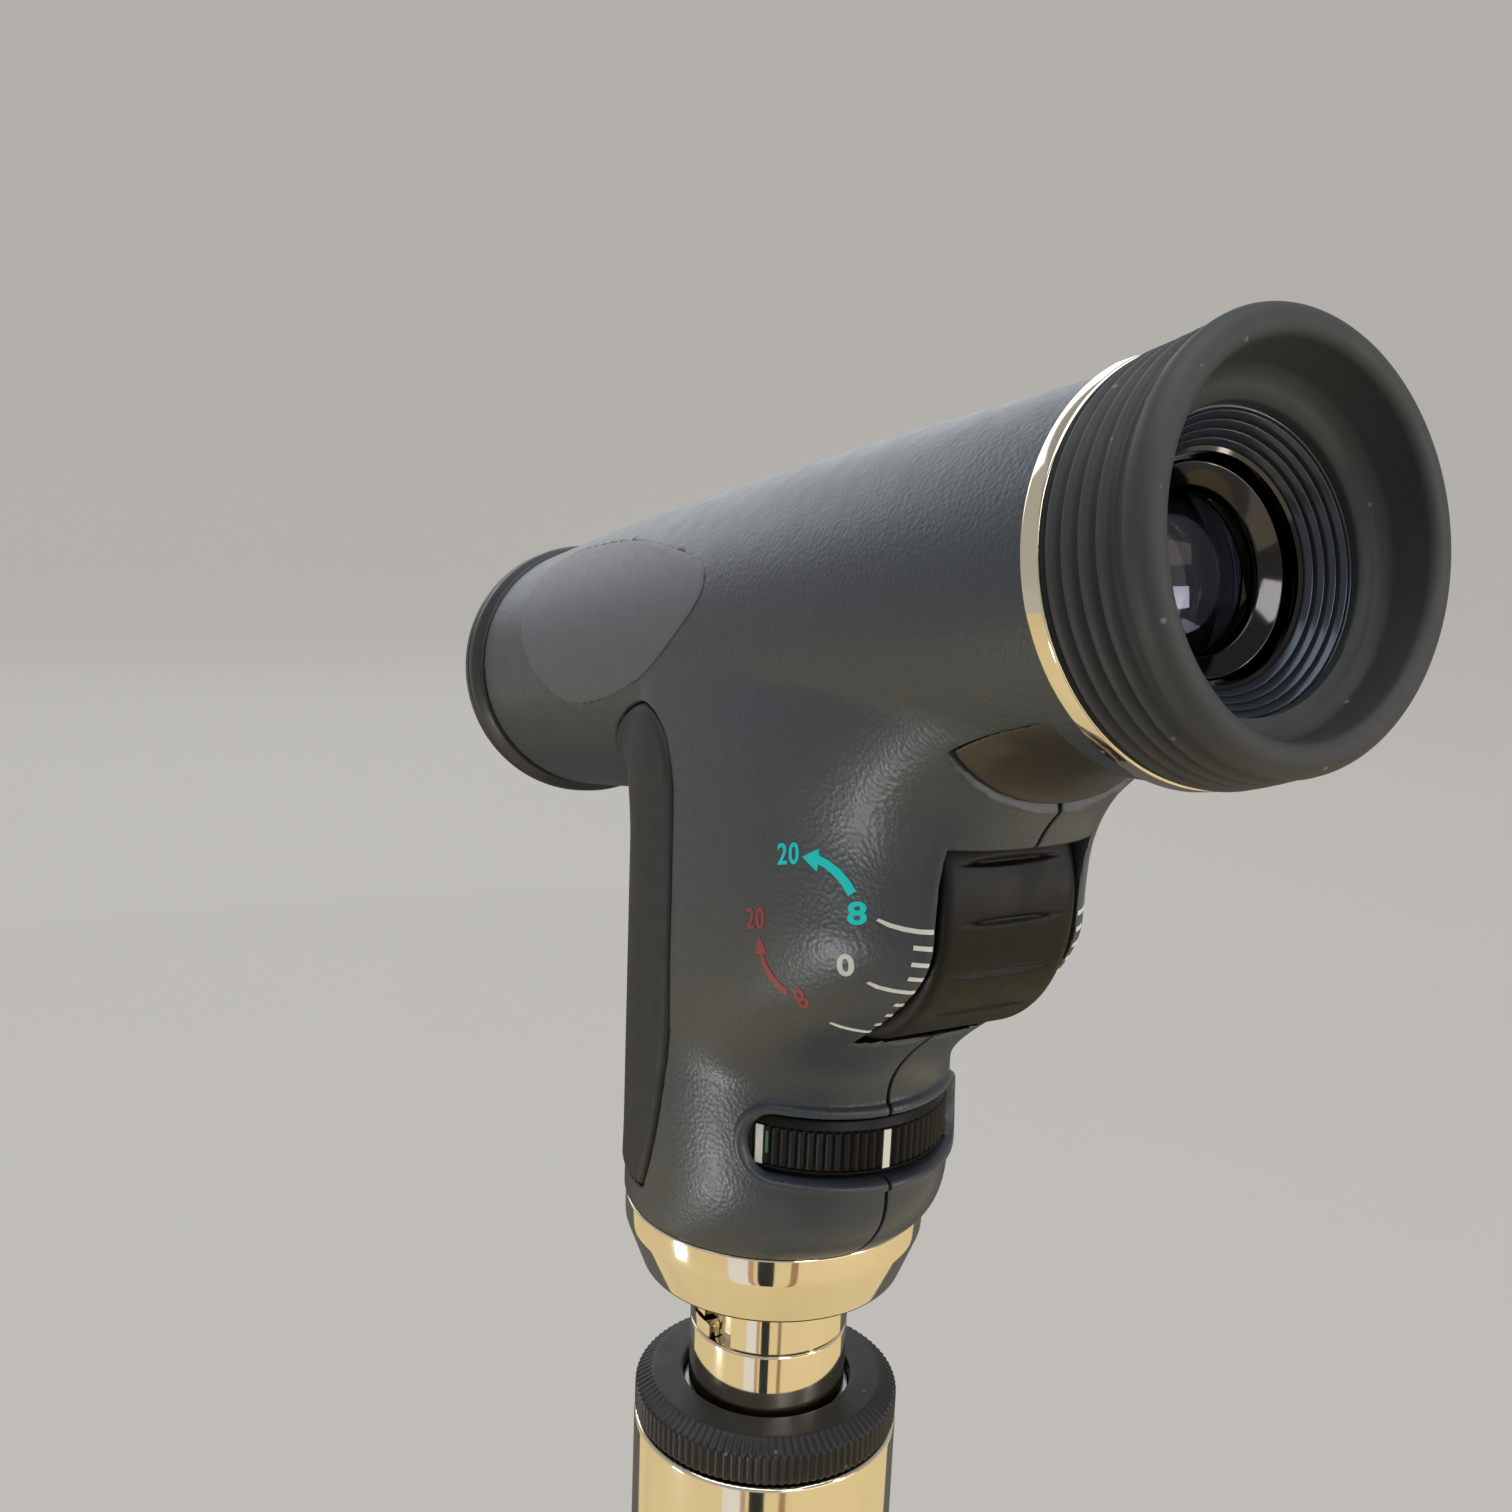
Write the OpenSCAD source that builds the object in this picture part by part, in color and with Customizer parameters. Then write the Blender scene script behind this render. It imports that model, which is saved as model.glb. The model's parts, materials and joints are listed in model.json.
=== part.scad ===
// Panoramic ophthalmoscope head on a rechargeable handle.
// Millimetres, +Z up the handle, +Y towards the patient, -Y towards the examiner.
// The origin is the centre of the flat face under the handle.

/* [Handle] */
// Outside diameter of the handle tube
tube_d = 29; // [28:0.25:31]
// Wall of the handle tube
tube_wall = 1.6; // [1.3:0.1:1.9]
// Height of the tube rim above the resting face
handle_h = 132; // [122:1:150]
// Height of the base cap's skirt
base_h = 8; // [7:0.5:9]
// Diameter of the flat resting face
base_face_d = 27; // [24:0.5:27.5]
// Step from the tube in to the foot, which enters a charger's well
foot_step = 0.2; // [0.1:0.05:0.4]
// Length of the ribbed grip sleeve
sleeve_h = 82; // [60:1:90]
// Thickness of the grip sleeve at its ribs
sleeve_t = 1.2; // [1:0.1:1.6]
// Height of the grip sleeve's bottom edge
sleeve_z = 14; // [12:0.5:18]
// Number of ribs round the grip sleeve
sleeve_ribs = 60; // [40:1:72]
// Diameter of the battery
battery_d = 24.6; // [22:0.1:24.8]
// Length of the battery without its nub
battery_l = 84; // [70:1:85]

/* [Switch ring] */
// Height of the switch ring's flat top above the tube rim
ring_h = 4.8; // [4.4:0.1:5.2]
// Height of the switch ring's straight side above the tube rim
ring_side_h = 3.6; // [3.2:0.1:4]
// Outside diameter of the switch ring
ring_d = 28.9; // [28.4:0.1:29.4]
// Diameter of the switch ring's flat top
ring_flat_d = 25; // [24:0.25:26]
// Number of flutes round the switch ring
ring_flutes = 104; // [60:1:120]
// Width of the lock button
button_w = 5; // [4:0.25:5.5]
// Height of the lock button
button_h = 2.4; // [2:0.1:2.6]
// Angle of the lock button round the ring, from +X
button_angle = 60; // [40:1:140]

/* [Neck] */
// Outside diameter of the neck and of the head's tube
neck_d = 17.2; // [16.8:0.1:17.6]
// Height of the seam between neck and head above the tube rim
seam_h = 11.4; // [10.5:0.1:12]
// Diameter of the plug that enters the head's tube
plug_d = 14.4; // [14:0.1:14.8]
// Length of the plug
plug_l = 5.2; // [4.8:0.1:5.4]
// Width of a bayonet lug
lug_w = 2; // [1.6:0.1:2.4]
// Angle that the head turns between its locked and free places
twist = 25; // [20:1:30]

/* [Collar] */
// Diameter at the collar's top, under the head's shells
collar_d = 32; // [31:0.25:33]
// Diameter at the collar's lower edge
collar_low_d = 28; // [26:0.25:29]
// Height of the collar's lower edge above the tube rim
collar_low_h = 18.3; // [17.8:0.1:18.8]
// Height of the collar's top above the tube rim
collar_h = 26.5; // [26:0.1:27]
// Length of the collar's straight band
collar_band = 2.5; // [2:0.1:3]

/* [Head neck] */
// Width of the head's neck
neck_w = 32; // [31:0.25:33]
// Distance of the neck's front from the handle axis
front_y = 15.2; // [14.8:0.1:15.8]
// Distance of the neck's back from the handle axis under the dial
chin_y = 21.8; // [21.4:0.1:22.2]
// Distance of the neck's back from the handle axis over the dial
waist_y = 21.1; // [20.8:0.1:21.4]
// Distance of the focus boss from the handle axis
boss_y = 38.8; // [38.4:0.1:39.4]
// Height of the chin above the tube rim
chin_h = 35; // [34:0.25:36]
// Height of the waist above the tube rim
waist_h = 45; // [44.5:0.25:46]
// Height of the focus boss above the tube rim
boss_h = 66; // [65:0.25:67]
// Wall of the head's shells
shell_wall = 2; // [1.8:0.1:2.2]

/* [Barrel] */
// Rise of the barrel towards the examiner, in degrees
barrel_tilt = 11.6; // [11:0.1:12]
// Largest outside diameter of the barrel
barrel_d = 31.7; // [31.4:0.1:32]
// Bore of the barrel
barrel_bore = 26.4; // [26:0.1:26.8]
// Length of the barrel's shells in front of the handle axis
front_len = 54.9; // [52:0.5:60]
// Length of the barrel's shells behind the handle axis
rear_len = 56.1; // [55.5:0.1:58]

/* [Focus] */
// Diameter of the focus wheel
wheel_d = 28.4; // [28:0.1:28.6]
// Width of the focus wheel
wheel_w = 13.6; // [13:0.1:13.8]
// Distance of the focus axle behind the handle axis
wheel_y = 23.6; // [23.4:0.1:23.8]
// Height of the focus axle above the tube rim
wheel_h = 68; // [66:0.1:70]
// Room between the focus wheel and the lens carriage over it
wheel_gap = 1.07; // [0.8:0.01:1.4]
// Diameter of the focus axle
axle_d = 3; // [2.6:0.1:3.4]
// Number of finger grooves round the focus wheel
wheel_grooves = 18; // [8:1:24]
// Number of teeth of the focus pinion
pinion_teeth = 12; // [12:1:13]
// Module of the focus pinion and rack
tooth_module = 0.5; // [0.48:0.01:0.52]
// Diameter of the two guide rods
rod_d = 2; // [1.8:0.1:2.4]
// Outside diameter of the lens carriage
carriage_d = 14.8; // [14.4:0.1:15]
// Length of the lens carriage
carriage_l = 14; // [12:0.5:15]

/* [Aperture dial] */
// Diameter of the aperture dial
dial_d = 25.5; // [25.2:0.1:25.8]
// Distance of the dial's axle behind the handle axis
dial_y = 8.6; // [8.4:0.1:8.8]
// Height of the dial's lower face above the tube rim
dial_z = 37.5; // [37:0.1:38]
// Thickness of the dial
dial_t = 5.6; // [5.4:0.1:5.8]
// Number of stations of the dial
stations = 6; // [5:1:6]
// Distance of the dial window's ends behind the handle axis
dial_end_y = 14.9; // [14:0.1:16]
// Number of ribs round the dial
dial_ribs = 90; // [60:1:110]

/* [Optics] */
// Diameter of the objective lens
objective_d = 24.8; // [23:0.1:25]
// Length of the front ring's visible part
front_ring_l = 5.3; // [5:0.1:6]
// Diameter of the front ring
front_ring_d = 32.7; // [32.4:0.1:33.4]
// Diameter of the focusing lens
focus_lens_d = 12.4; // [11:0.1:12.6]
// Bore of the eyepiece barrel
eyepiece_bore = 15.4; // [15:0.1:15.6]
// Clear opening of the eyepiece retainer
pupil_d = 11.6; // [11:0.1:12]
// Number of steps in the eyepiece's mouth
eyepiece_steps = 4; // [3:1:5]

/* [Eyecup] */
// Length of the rubber eyecup behind the chrome ring
cup_l = 8.1; // [7.6:0.1:12]
// Outside diameter of the eyecup's lip
lip_d = 30.2; // [29:0.1:31]
// Diameter of the eyecup's mouth
mouth_d = 24.6; // [24.4:0.1:26]
// Number of bellows ribs on the eyecup
cup_ribs = 4; // [3:1:5]

/* [Fits] */
// Radial clearance of a running fit
run_gap = 0.06; // [0.04:0.01:0.09]
// Clearance between pieces that pass each other
gap = 0.3; // [0.25:0.01:0.35]
// Radial clearance of a cover round what it hides
loose = 0.5; // [0.4:0.05:0.55]

/* [Hidden] */
$fn = 96;
eps = 0.01;

// Handle, measured from the resting face
tube_r = tube_d / 2;
tube_bore_r = tube_r - tube_wall;
foot_r = tube_r - foot_step;
foot_bevel_h = 1.2;
seat_r = tube_r - 0.5;
sleeve_r = seat_r + sleeve_t;
rib_depth = 0.35;
base_plug_h = 6;
spring_z0 = base_h + base_plug_h;
battery_nub_h = 1.5;
disc_t = 3;
flange_t = 2;
track_t = 0.8;
flange_z = handle_h - 9;
disc_z = flange_z - disc_t;
battery_z = disc_z - battery_nub_h - battery_l;
battery_nub_r = 3;
contact_r = 2.2;
insulator_r = 4.2;
pin_r = 1.8;
insul_r = 5.6;

// Switch ring and neck, measured from the tube rim
ring_gap = 0.25;
skirt_l = 5;
flute_depth = 0.3;
neck_r = neck_d / 2;
plug_r = plug_d / 2;
clip_groove = 0.6;
clip_t = 0.6;
clip_z = 2.6 + gap / 2;
shoulder_z = 2.6;
ring_hole_r = neck_r + loose + 0.05;
button_travel = 0.8;
button_l = 3.4;
button_proud = 1;
seam_gap = 0.15;
lug_h = 1.6;
lug_z = seam_h + 2;

// Head, measured from the tube rim. The barrel's height lets the lens carriage clear the focus wheel
barrel_h = wheel_h + ((carriage_d + wheel_d) / 2 + wheel_gap - wheel_y * sin(barrel_tilt)) / cos(barrel_tilt);
collar_r = collar_d / 2;
spigot_r = collar_r - shell_wall - 0.3;
spigot_h = 3;
lamp_r = 4.4;
socket_r = 6.6;
neck_top_h = barrel_h - 2.3;
front_n = 2.1;
rear_n_low = 2;
rear_n_high = 2.8;
// The mirror stands where it turns the upright beam along the barrel
mirror_turn = 45 + barrel_tilt / 2;
mirror_mid = [-0.6, -7.5];
mirror_reach = 4.2 * [cos(mirror_turn), -sin(mirror_turn)];
mirror_face = [mirror_mid - mirror_reach, mirror_mid + mirror_reach];
barrel_r = barrel_d / 2;
bore_r = barrel_bore / 2;
crown_s = -15;
crown_k = 0.00029;
wheel_r = wheel_d / 2;
axle_r = axle_d / 2;
window_w = wheel_w + 2 * gap;
window_top = wheel_h + 6.1;
window_low = wheel_h - 13.6;
pitch_r = pinion_teeth * tooth_module / 2;
// Where the focus axle lies in the barrel's own frame: along the axis and above it
wheel_s = wheel_y * cos(barrel_tilt) - (barrel_h - wheel_h) * sin(barrel_tilt);
wheel_v = -wheel_y * sin(barrel_tilt) - (barrel_h - wheel_h) * cos(barrel_tilt);
focus_turn = 75;
rack_x0 = wheel_w / 2 + 0.5;
rack_w = 1.6;
rack_v = wheel_v + pitch_r;
axle_l = 24.4;
boss_r = 3.4;
rod_x = 9.3;
rod_v = 2.5;
rod_r = rod_d / 2;
bulk_t = 2.5;
front_bulk_s = 3;
rear_bulk_s = 38;
rod_s0 = front_bulk_s;
rod_s1 = rear_bulk_s + bulk_t;
carriage_s = wheel_s - carriage_l / 2;
dial_r = dial_d / 2;
frame_z = collar_h + spigot_h;
frame_t = 2;
upper_z = dial_z + dial_t + 3;
pillar_x = 10;
pillar_y = 4;
pillar_r = 1.8;
station_r = dial_y;
hole_r = 2.6;
detent_x = dial_r - 3.8;
screw_y = front_y - 6;
screw_head_x = neck_w / 2 - 8.3;
screw_r = 1.1;
screw_head_r = 2;
screw_l = 4;
screw_zs = [dial_z + dial_t / 2, wheel_h - 10];
cup_s = rear_len + 2.1;
cup_end = cup_s + cup_l;
cup_bore_r = 12.2;
grip_proud = 0.35;
grip_depth = 1;
label_t = 0.4;
label_proud = 0.12;
// Side view of the rubber grip, as distance from the handle axis and height above the tube rim
grip_low_edge = [[22, 29.6], [-0.6, 29.6], [-1.6, 30.6], [-3.2, 37], [-4.4, 43], [-5.4, 50]];
// The upper part keeps its distance from the barrel's axis
grip_high_edge = [
    [-5.6, 26.3], [-5.4, 15.3], [-4.6, 11.9], [-3, 9.3], [-0.8, 7.7], [1.8, 6.9], [4.8, 7.1],
    [9, 8.5], [13.4, 10.9], [17, 13.7], [19, 16.3], [22, 20.3]
];
grip_edge = concat(grip_low_edge, [for (p = grip_high_edge) [p.x, barrel_h - p.y]]);
// Side view of the leaf label, as place along the barrel and height over its axis
leaf_edge = [
    [9.9, 4.4], [8.6, 6.2], [1.9, 8.2], [-6.4, 10], [-16, 11.5], [-27, 12.4], [-36, 12.6],
    [-40.6, 11.4], [-42.2, 8.6], [-41, 5.2], [-37.6, 1.2], [-33.4, -2.2], [-28.6, -4.6],
    [-22.6, -5.4], [-14.1, -5], [-5.2, -3.6], [1, -1.6], [7, 1.2], [9.6, 3]
];
// The label under the barrel: half its width at the front, at the corners and at the back, and its ends
under_front_x = 9.8;
under_corner_x = 10.2;
under_back_x = 11.2;
under_l = 14.4;
under_corner_l = 4.8;
under_margin = 2.3;
// How far the cutting prisms reach, past every skin
cut_reach = 30;

// ---------------------------------------------------------------- helpers

function mix(a, b, t) = a + (b - a) * t;
function smooth(t) = t * t * (3 - 2 * t);
function part_of(a, b, v) = min(1, max(0, (v - a) / (b - a)));
function power(v, e) = sign(v) * pow(abs(v), e);

module head() {
    translate([0, 0, handle_h]) children();
}

// The barrel's own frame: local Z runs along the barrel to the examiner, local Y is up
module barrel() {
    translate([0, 0, handle_h + barrel_h]) rotate([90 - barrel_tilt, 0, 0]) children();
}

module tube(r_out, r_in, h) {
    difference() {
        cylinder(r = r_out, h = h);
        translate([0, 0, -1]) cylinder(r = r_in, h = h + 2);
    }
}

// A cylinder along X, centred on the origin
module cross_rod(r, l) {
    rotate([0, 90, 0]) translate([0, 0, -l / 2]) cylinder(r = r, h = l);
}

// A lens of radius r and edge thickness edge_t whose faces stand proud by bulge
module lens(r, edge_t, bulge) {
    cap_r = (r * r + bulge * bulge) / (2 * bulge);
    cylinder(r = r, h = edge_t);
    intersection() {
        translate([0, 0, edge_t + bulge - cap_r]) sphere(r = cap_r);
        translate([0, 0, edge_t]) cylinder(r = r, h = bulge);
    }
    intersection() {
        translate([0, 0, cap_r - bulge]) sphere(r = cap_r);
        translate([0, 0, -bulge]) cylinder(r = r, h = bulge);
    }
}

// A ribbed outline: count ribs between radius r and r - depth
module ribbed(r, depth, count) {
    polygon([for (i = [0 : 2 * count - 1])
        let (rr = i % 2 == 0 ? r : r - depth, a = i * 180 / count) [rr * cos(a), rr * sin(a)]]);
}

// A helical coil standing on z = 0, one unbroken tube
module coil(mean_r, wire_r, turns, height, sides = 6, steps = 12) {
    rings = turns * steps;
    climb = height - 2 * wire_r;
    points = [for (i = [0 : rings], j = [0 : sides - 1])
        let (a = i * 360 / steps, b = j * 360 / sides, rr = mean_r + wire_r * cos(b))
            [rr * cos(a), rr * sin(a), wire_r + climb * i / rings + wire_r * sin(b)]];
    walls = [for (i = [0 : rings - 1], j = [0 : sides - 1], k = [0, 1])
        let (a = i * sides + j, b = i * sides + (j + 1) % sides)
            k == 0 ? [a, b, b + sides] : [a, b + sides, a + sides]];
    low = [for (j = [1 : sides - 2]) [0, j + 1, j]];
    last = rings * sides;
    high = [for (j = [1 : sides - 2]) [last, last + j, last + j + 1]];
    polyhedron(points = points, faces = concat(walls, low, high));
}

// ---------------------------------------------------------------- head outline

// Distance of the neck's back from the handle axis at height z
function back_y(z) =
    z < chin_h ? mix(collar_r, chin_y, 1 - pow(1 - part_of(collar_h, chin_h, z), 2)) :
    z < waist_h ? mix(chin_y, waist_y, smooth(part_of(chin_h, waist_h, z))) :
    z < boss_h ? mix(waist_y, boss_y, smooth(part_of(waist_h, boss_h, z))) :
    mix(boss_y, boss_y + 3.4, pow(part_of(boss_h, neck_top_h, z), 2));

function half_w(z) = neck_w / 2 - 0.7 * pow(part_of(boss_h, neck_top_h, z), 2);

function fore_y(z) = mix(collar_r, front_y, smooth(part_of(collar_h, chin_h, z)));

function back_n(z) = mix(rear_n_low, rear_n_high, smooth(part_of(waist_h, boss_h - 8, z)));

function neck_point(z, a, grow) =
    let (s = sin(a), n = s > 0 ? front_n : back_n(z), reach = s > 0 ? fore_y(z) : back_y(z))
        [power(cos(a), 2 / n) * (half_w(z) + grow), power(s, 2 / n) * (reach + grow), z];

// The neck's outline grown by grow, from height z0 to z1, as a loft
module neck_loft(grow, z0, z1, sides = 36, levels = 16) {
    points = [for (i = [0 : levels], j = [0 : sides - 1])
        neck_point(mix(z0, z1, i / levels), j * 360 / sides, grow)];
    walls = [for (i = [0 : levels - 1], j = [0 : sides - 1], k = [0, 1])
        let (a = i * sides + j, b = i * sides + (j + 1) % sides)
            k == 0 ? [a, b + sides, b] : [a, a + sides, b + sides]];
    low = [[for (j = [0 : sides - 1]) j]];
    high = [[for (j = [sides - 1 : -1 : 0]) levels * sides + j]];
    polyhedron(points = points, faces = concat(walls, low, high));
}

function barrel_r_at(s) = barrel_r - crown_k * pow(s - crown_s, 2);

// The barrel's outline grown by grow, from place s0 to s1 along it
module barrel_body(grow, s0, s1, parts = 6) {
    rotate_extrude() polygon(concat([[0, s0]],
        [for (i = [0 : parts]) let (s = mix(s0, s1, i / parts)) [barrel_r_at(s) + grow, s]], [[0, s1]]));
}

module head_body(grow) {
    head() neck_loft(grow, collar_h, neck_top_h);
    barrel() barrel_body(grow, -front_len, rear_len);
}

// Side view of the rubber grip, as distance from the handle axis and height above the tube rim
module grip_outline() {
    polygon(grip_edge);
}

// The side view outline pushed through the head along X
module through_head() {
    head() rotate([90, 0, 90]) linear_extrude(2 * cut_reach, center = true) children();
}

// Leaf-shaped side label in the barrel's own frame, as place along the barrel and height
module leaf_outline() {
    polygon(leaf_edge);
}

module side_label_prism(side) {
    barrel() rotate([0, -90, 0]) translate([0, 0, side > 0 ? -cut_reach : 0])
        linear_extrude(cut_reach) leaf_outline();
}

module barrel_skin(inner, outer) {
    barrel() difference() {
        barrel_body(outer, -front_len + 2, rear_len);
        barrel_body(inner, -front_len - 1, rear_len + 1);
    }
}

// Plan of the label under the barrel, as place across and place along
module under_outline() {
    back_s = rear_len - under_margin;
    front_s = back_s - under_l;
    corner_s = front_s + under_corner_l;
    polygon([[-under_front_x, front_s], [under_front_x, front_s], [under_corner_x, corner_s],
        [under_back_x, back_s], [-under_back_x, back_s], [-under_corner_x, corner_s]]);
}

module under_label_prism() {
    barrel() rotate([90, 0, 0]) linear_extrude(cut_reach) under_outline();
}

// ---------------------------------------------------------------- handle

module base_cap() {
    top = base_h + base_plug_h;
    plug_bore_r = tube_bore_r - 2;
    boss_r = insulator_r + 2;
    color("#b9b2a4") rotate_extrude() polygon([[insulator_r, 0], [base_face_d / 2, 0],
        [foot_r, foot_bevel_h], [foot_r, base_h], [tube_bore_r, base_h], [tube_bore_r, top],
        [plug_bore_r, top], [plug_bore_r, base_h], [boss_r, base_h], [boss_r, top],
        [insulator_r, top]]);
}

module charge_insulator() {
    color("#2b2b2c") translate([0, 0, 0.6]) tube(insulator_r, contact_r, base_h + base_plug_h - 0.6);
}

module charge_contact() {
    color("#c8a24a") cylinder(r = contact_r, h = base_h + base_plug_h);
}

module battery_spring() {
    spring_h = battery_z - spring_z0;
    spring_r = 5.4;
    spring_wire_r = 0.5;
    color("#9fa3a6") translate([0, 0, spring_z0]) coil(spring_r, spring_wire_r, 5, spring_h);
}

module battery() {
    color("#3c5a78") rotate_extrude() translate([0, battery_z]) polygon([[0, 0], [battery_d / 2 - 0.6, 0],
        [battery_d / 2, 0.6], [battery_d / 2, battery_l - 1], [battery_d / 2 - 1, battery_l],
        [battery_nub_r, battery_l], [battery_nub_r, battery_l + battery_nub_h],
        [0, battery_l + battery_nub_h]]);
}

module handle_tube() {
    rim = 0.5;
    color("#cdc3b0") rotate_extrude() polygon([[tube_bore_r, base_h], [tube_r, base_h], [tube_r, sleeve_z],
        [seat_r, sleeve_z], [seat_r, sleeve_z + sleeve_h], [tube_r, sleeve_z + sleeve_h],
        [tube_r, handle_h - rim], [tube_r - rim, handle_h], [tube_bore_r, handle_h]]);
}

module grip_sleeve() {
    band = 3;
    color("#2a2b2d") translate([0, 0, sleeve_z]) difference() {
        union() {
            cylinder(r = sleeve_r - rib_depth, h = sleeve_h);
            for (k = [0 : 2]) translate([0, 0, band + k * (sleeve_h - band) / 3])
                linear_extrude((sleeve_h - 4 * band) / 3) ribbed(sleeve_r, rib_depth, sleeve_ribs);
        }
        translate([0, 0, -1]) cylinder(r = seat_r, h = sleeve_h + 2);
    }
}

module terminal_disc() {
    color("#6f6a5a") translate([0, 0, disc_z]) tube(tube_bore_r, contact_r, disc_t);
}

module terminal_rivet() {
    color("#c8a24a") translate([0, 0, disc_z]) cylinder(r = contact_r, h = disc_t);
}

module neck() {
    plug_z = seam_h - seam_gap;
    color("#cdc3b0") head() {
        difference() {
            rotate_extrude() polygon([[insul_r, flange_z - handle_h], [tube_bore_r, flange_z - handle_h],
                [tube_bore_r, flange_z - handle_h + flange_t], [neck_r, flange_z - handle_h + flange_t],
                [neck_r, clip_z], [neck_r - clip_groove, clip_z], [neck_r - clip_groove, clip_z + clip_t],
                [neck_r, clip_z + clip_t], [neck_r, plug_z - 0.4], [neck_r - 0.4, plug_z],
                [plug_r, plug_z], [plug_r, plug_z + plug_l - 0.4], [plug_r - 0.4, plug_z + plug_l],
                [insul_r, plug_z + plug_l]]);
        }
        for (a = [0, 180]) rotate(a) translate([plug_r - 0.3, -lug_w / 2, lug_z])
            intersection() {
                cube([neck_r - plug_r + 0.1, lug_w, lug_h]);
                translate([0.3 - plug_r, lug_w / 2, -1]) cylinder(r = neck_r - 0.25, h = lug_h + 2);
            }
    }
}

module neck_insulator() {
    color("#e6e0cf") head() translate([0, 0, flange_z - handle_h]) tube(insul_r, pin_r,
        seam_h + plug_l - 1 - (flange_z - handle_h));
}

module contact_pin() {
    pin_z = flange_z - handle_h;
    top = collar_low_h - gap;
    color("#c8a24a") head() rotate_extrude() polygon([[0, pin_z], [pin_r, pin_z], [pin_r, top - 0.8],
        [pin_r - 0.8, top], [0, top]]);
}

module ring_clip() {
    mouth = 4;
    color("#8d9093") head() translate([0, 0, clip_z]) difference() {
        tube(neck_r + 0.4, neck_r - clip_groove, clip_t);
        translate([0, -mouth / 2, -1]) cube([neck_d, mouth, clip_t + 2]);
    }
}

module rheostat_track() {
    color("#5b4636") head() translate([0, 0, flange_z - handle_h + flange_t])
        tube(tube_bore_r - 0.6, neck_r, track_t);
}

module switch_ring() {
    skirt_r = tube_bore_r - gap;
    color("#2d2f33") head() difference() {
        union() {
            translate([0, 0, ring_gap]) linear_extrude(ring_side_h - ring_gap)
                ribbed(ring_d / 2, flute_depth, ring_flutes);
            translate([0, 0, ring_side_h - eps]) cylinder(r1 = ring_d / 2 - flute_depth,
                r2 = ring_flat_d / 2, h = ring_h - ring_side_h + eps);
            translate([0, 0, -skirt_l]) cylinder(r = skirt_r, h = skirt_l + ring_gap + eps);
        }
        translate([0, 0, -skirt_l - 1]) cylinder(r = neck_r + run_gap, h = skirt_l + shoulder_z + 1);
        translate([0, 0, shoulder_z - eps]) cylinder(r = ring_hole_r, h = ring_h);
        rotate(button_angle) button_block(run_gap, ring_d / 2 + 2);
    }
}

// The lock button's block, from where its pocket starts to radius reach
pocket_r0 = neck_r + 0.9;
module button_block(grow, reach) {
    w = button_w - button_h;
    translate([pocket_r0, 0, ring_gap + 0.45 + button_h / 2]) rotate([0, 90, 0])
        linear_extrude(reach - pocket_r0) {
            square([button_h + 2 * grow, w], center = true);
            for (k = [-1, 1]) translate([0, k * w / 2]) circle(r = button_h / 2 + grow);
        }
}

module lock_button() {
    tip = ring_d / 2 + button_proud;
    color("#3f9a55") head() rotate(button_angle) difference() {
        button_block(0, tip);
        translate([pocket_r0 - 1, -button_w, -1])
            cube([tip - button_l - pocket_r0 + 1, 2 * button_w, ring_h + 2]);
    }
}

module lock_spring() {
    tip = ring_d / 2 + button_proud;
    room = tip - button_l - pocket_r0;
    color("#9fa3a6") head() rotate(button_angle)
        translate([pocket_r0, 0, ring_gap + 0.45 + button_h / 2]) rotate([0, 90, 0]) coil(0.75, 0.15, 3, room);
}

module rheostat_wiper() {
    low = flange_z - handle_h + flange_t + track_t;
    color("#c8a24a") head() rotate(button_angle) translate([neck_r + 0.8, -1.5, low + gap / 2])
        cube([2, 3, -skirt_l - low - gap / 2]);
}

// ---------------------------------------------------------------- collar and lamp

module collar() {
    tube_bore = plug_r + run_gap;
    band_z = collar_h - collar_band;
    // The lug's place before and after the turn, on a plane square to the middle of the slot
    slot_end = neck_r * sin(twist / 2) + lug_w / 2 * cos(twist / 2) + gap;
    slot_side = plug_r * sin(twist / 2) - lug_w / 2 * cos(twist / 2) - gap;
    slot_low = lug_z - gap;
    slot_top = lug_z + lug_h + gap;
    color("#cdc3b0") head() difference() {
        rotate_extrude() polygon([[tube_bore, seam_h], [neck_r, seam_h], [neck_r, collar_low_h],
            [collar_low_d / 2, collar_low_h], [collar_r, band_z], [collar_r, collar_h], [spigot_r, collar_h],
            [spigot_r, collar_h + spigot_h], [spigot_r - 2, collar_h + spigot_h],
            [spigot_r - 2, collar_low_h + 3], [socket_r + 2, collar_low_h + 2], [socket_r, collar_low_h + 2],
            [socket_r, collar_low_h - gap], [tube_bore, collar_low_h - gap]]);
        // The bayonet slots: a leg up from the mouth and a leg round to the locked place
        for (a = [0, 180]) rotate(a + twist / 2) translate([plug_r / 2, 0, 0]) rotate([90, 0, 90])
            linear_extrude(neck_r) polygon([[slot_end, seam_h - 1], [slot_end, slot_top],
                [-slot_end, slot_top], [-slot_end, slot_low], [slot_side, slot_low], [slot_side, seam_h - 1]]);
    }
}

module lamp_socket() {
    color("#d8d2c0") head() translate([0, 0, collar_low_h + 0.2]) tube(socket_r, lamp_r, 7);
}

module lamp_base() {
    color("#c8a24a") head() translate([0, 0, collar_low_h]) cylinder(r = lamp_r, h = 9);
}

module lamp_bulb() {
    color("#dfe9ee") head() translate([0, 0, collar_low_h + 9]) {
        cylinder(r = lamp_r - 0.5, h = 3);
        translate([0, 0, 3]) intersection() {
            sphere(r = lamp_r - 0.5);
            cylinder(r = lamp_r, h = lamp_r);
        }
    }
}

// ---------------------------------------------------------------- head shells

module at_wheel() {
    head() translate([0, -wheel_y, wheel_h]) children();
}

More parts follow.
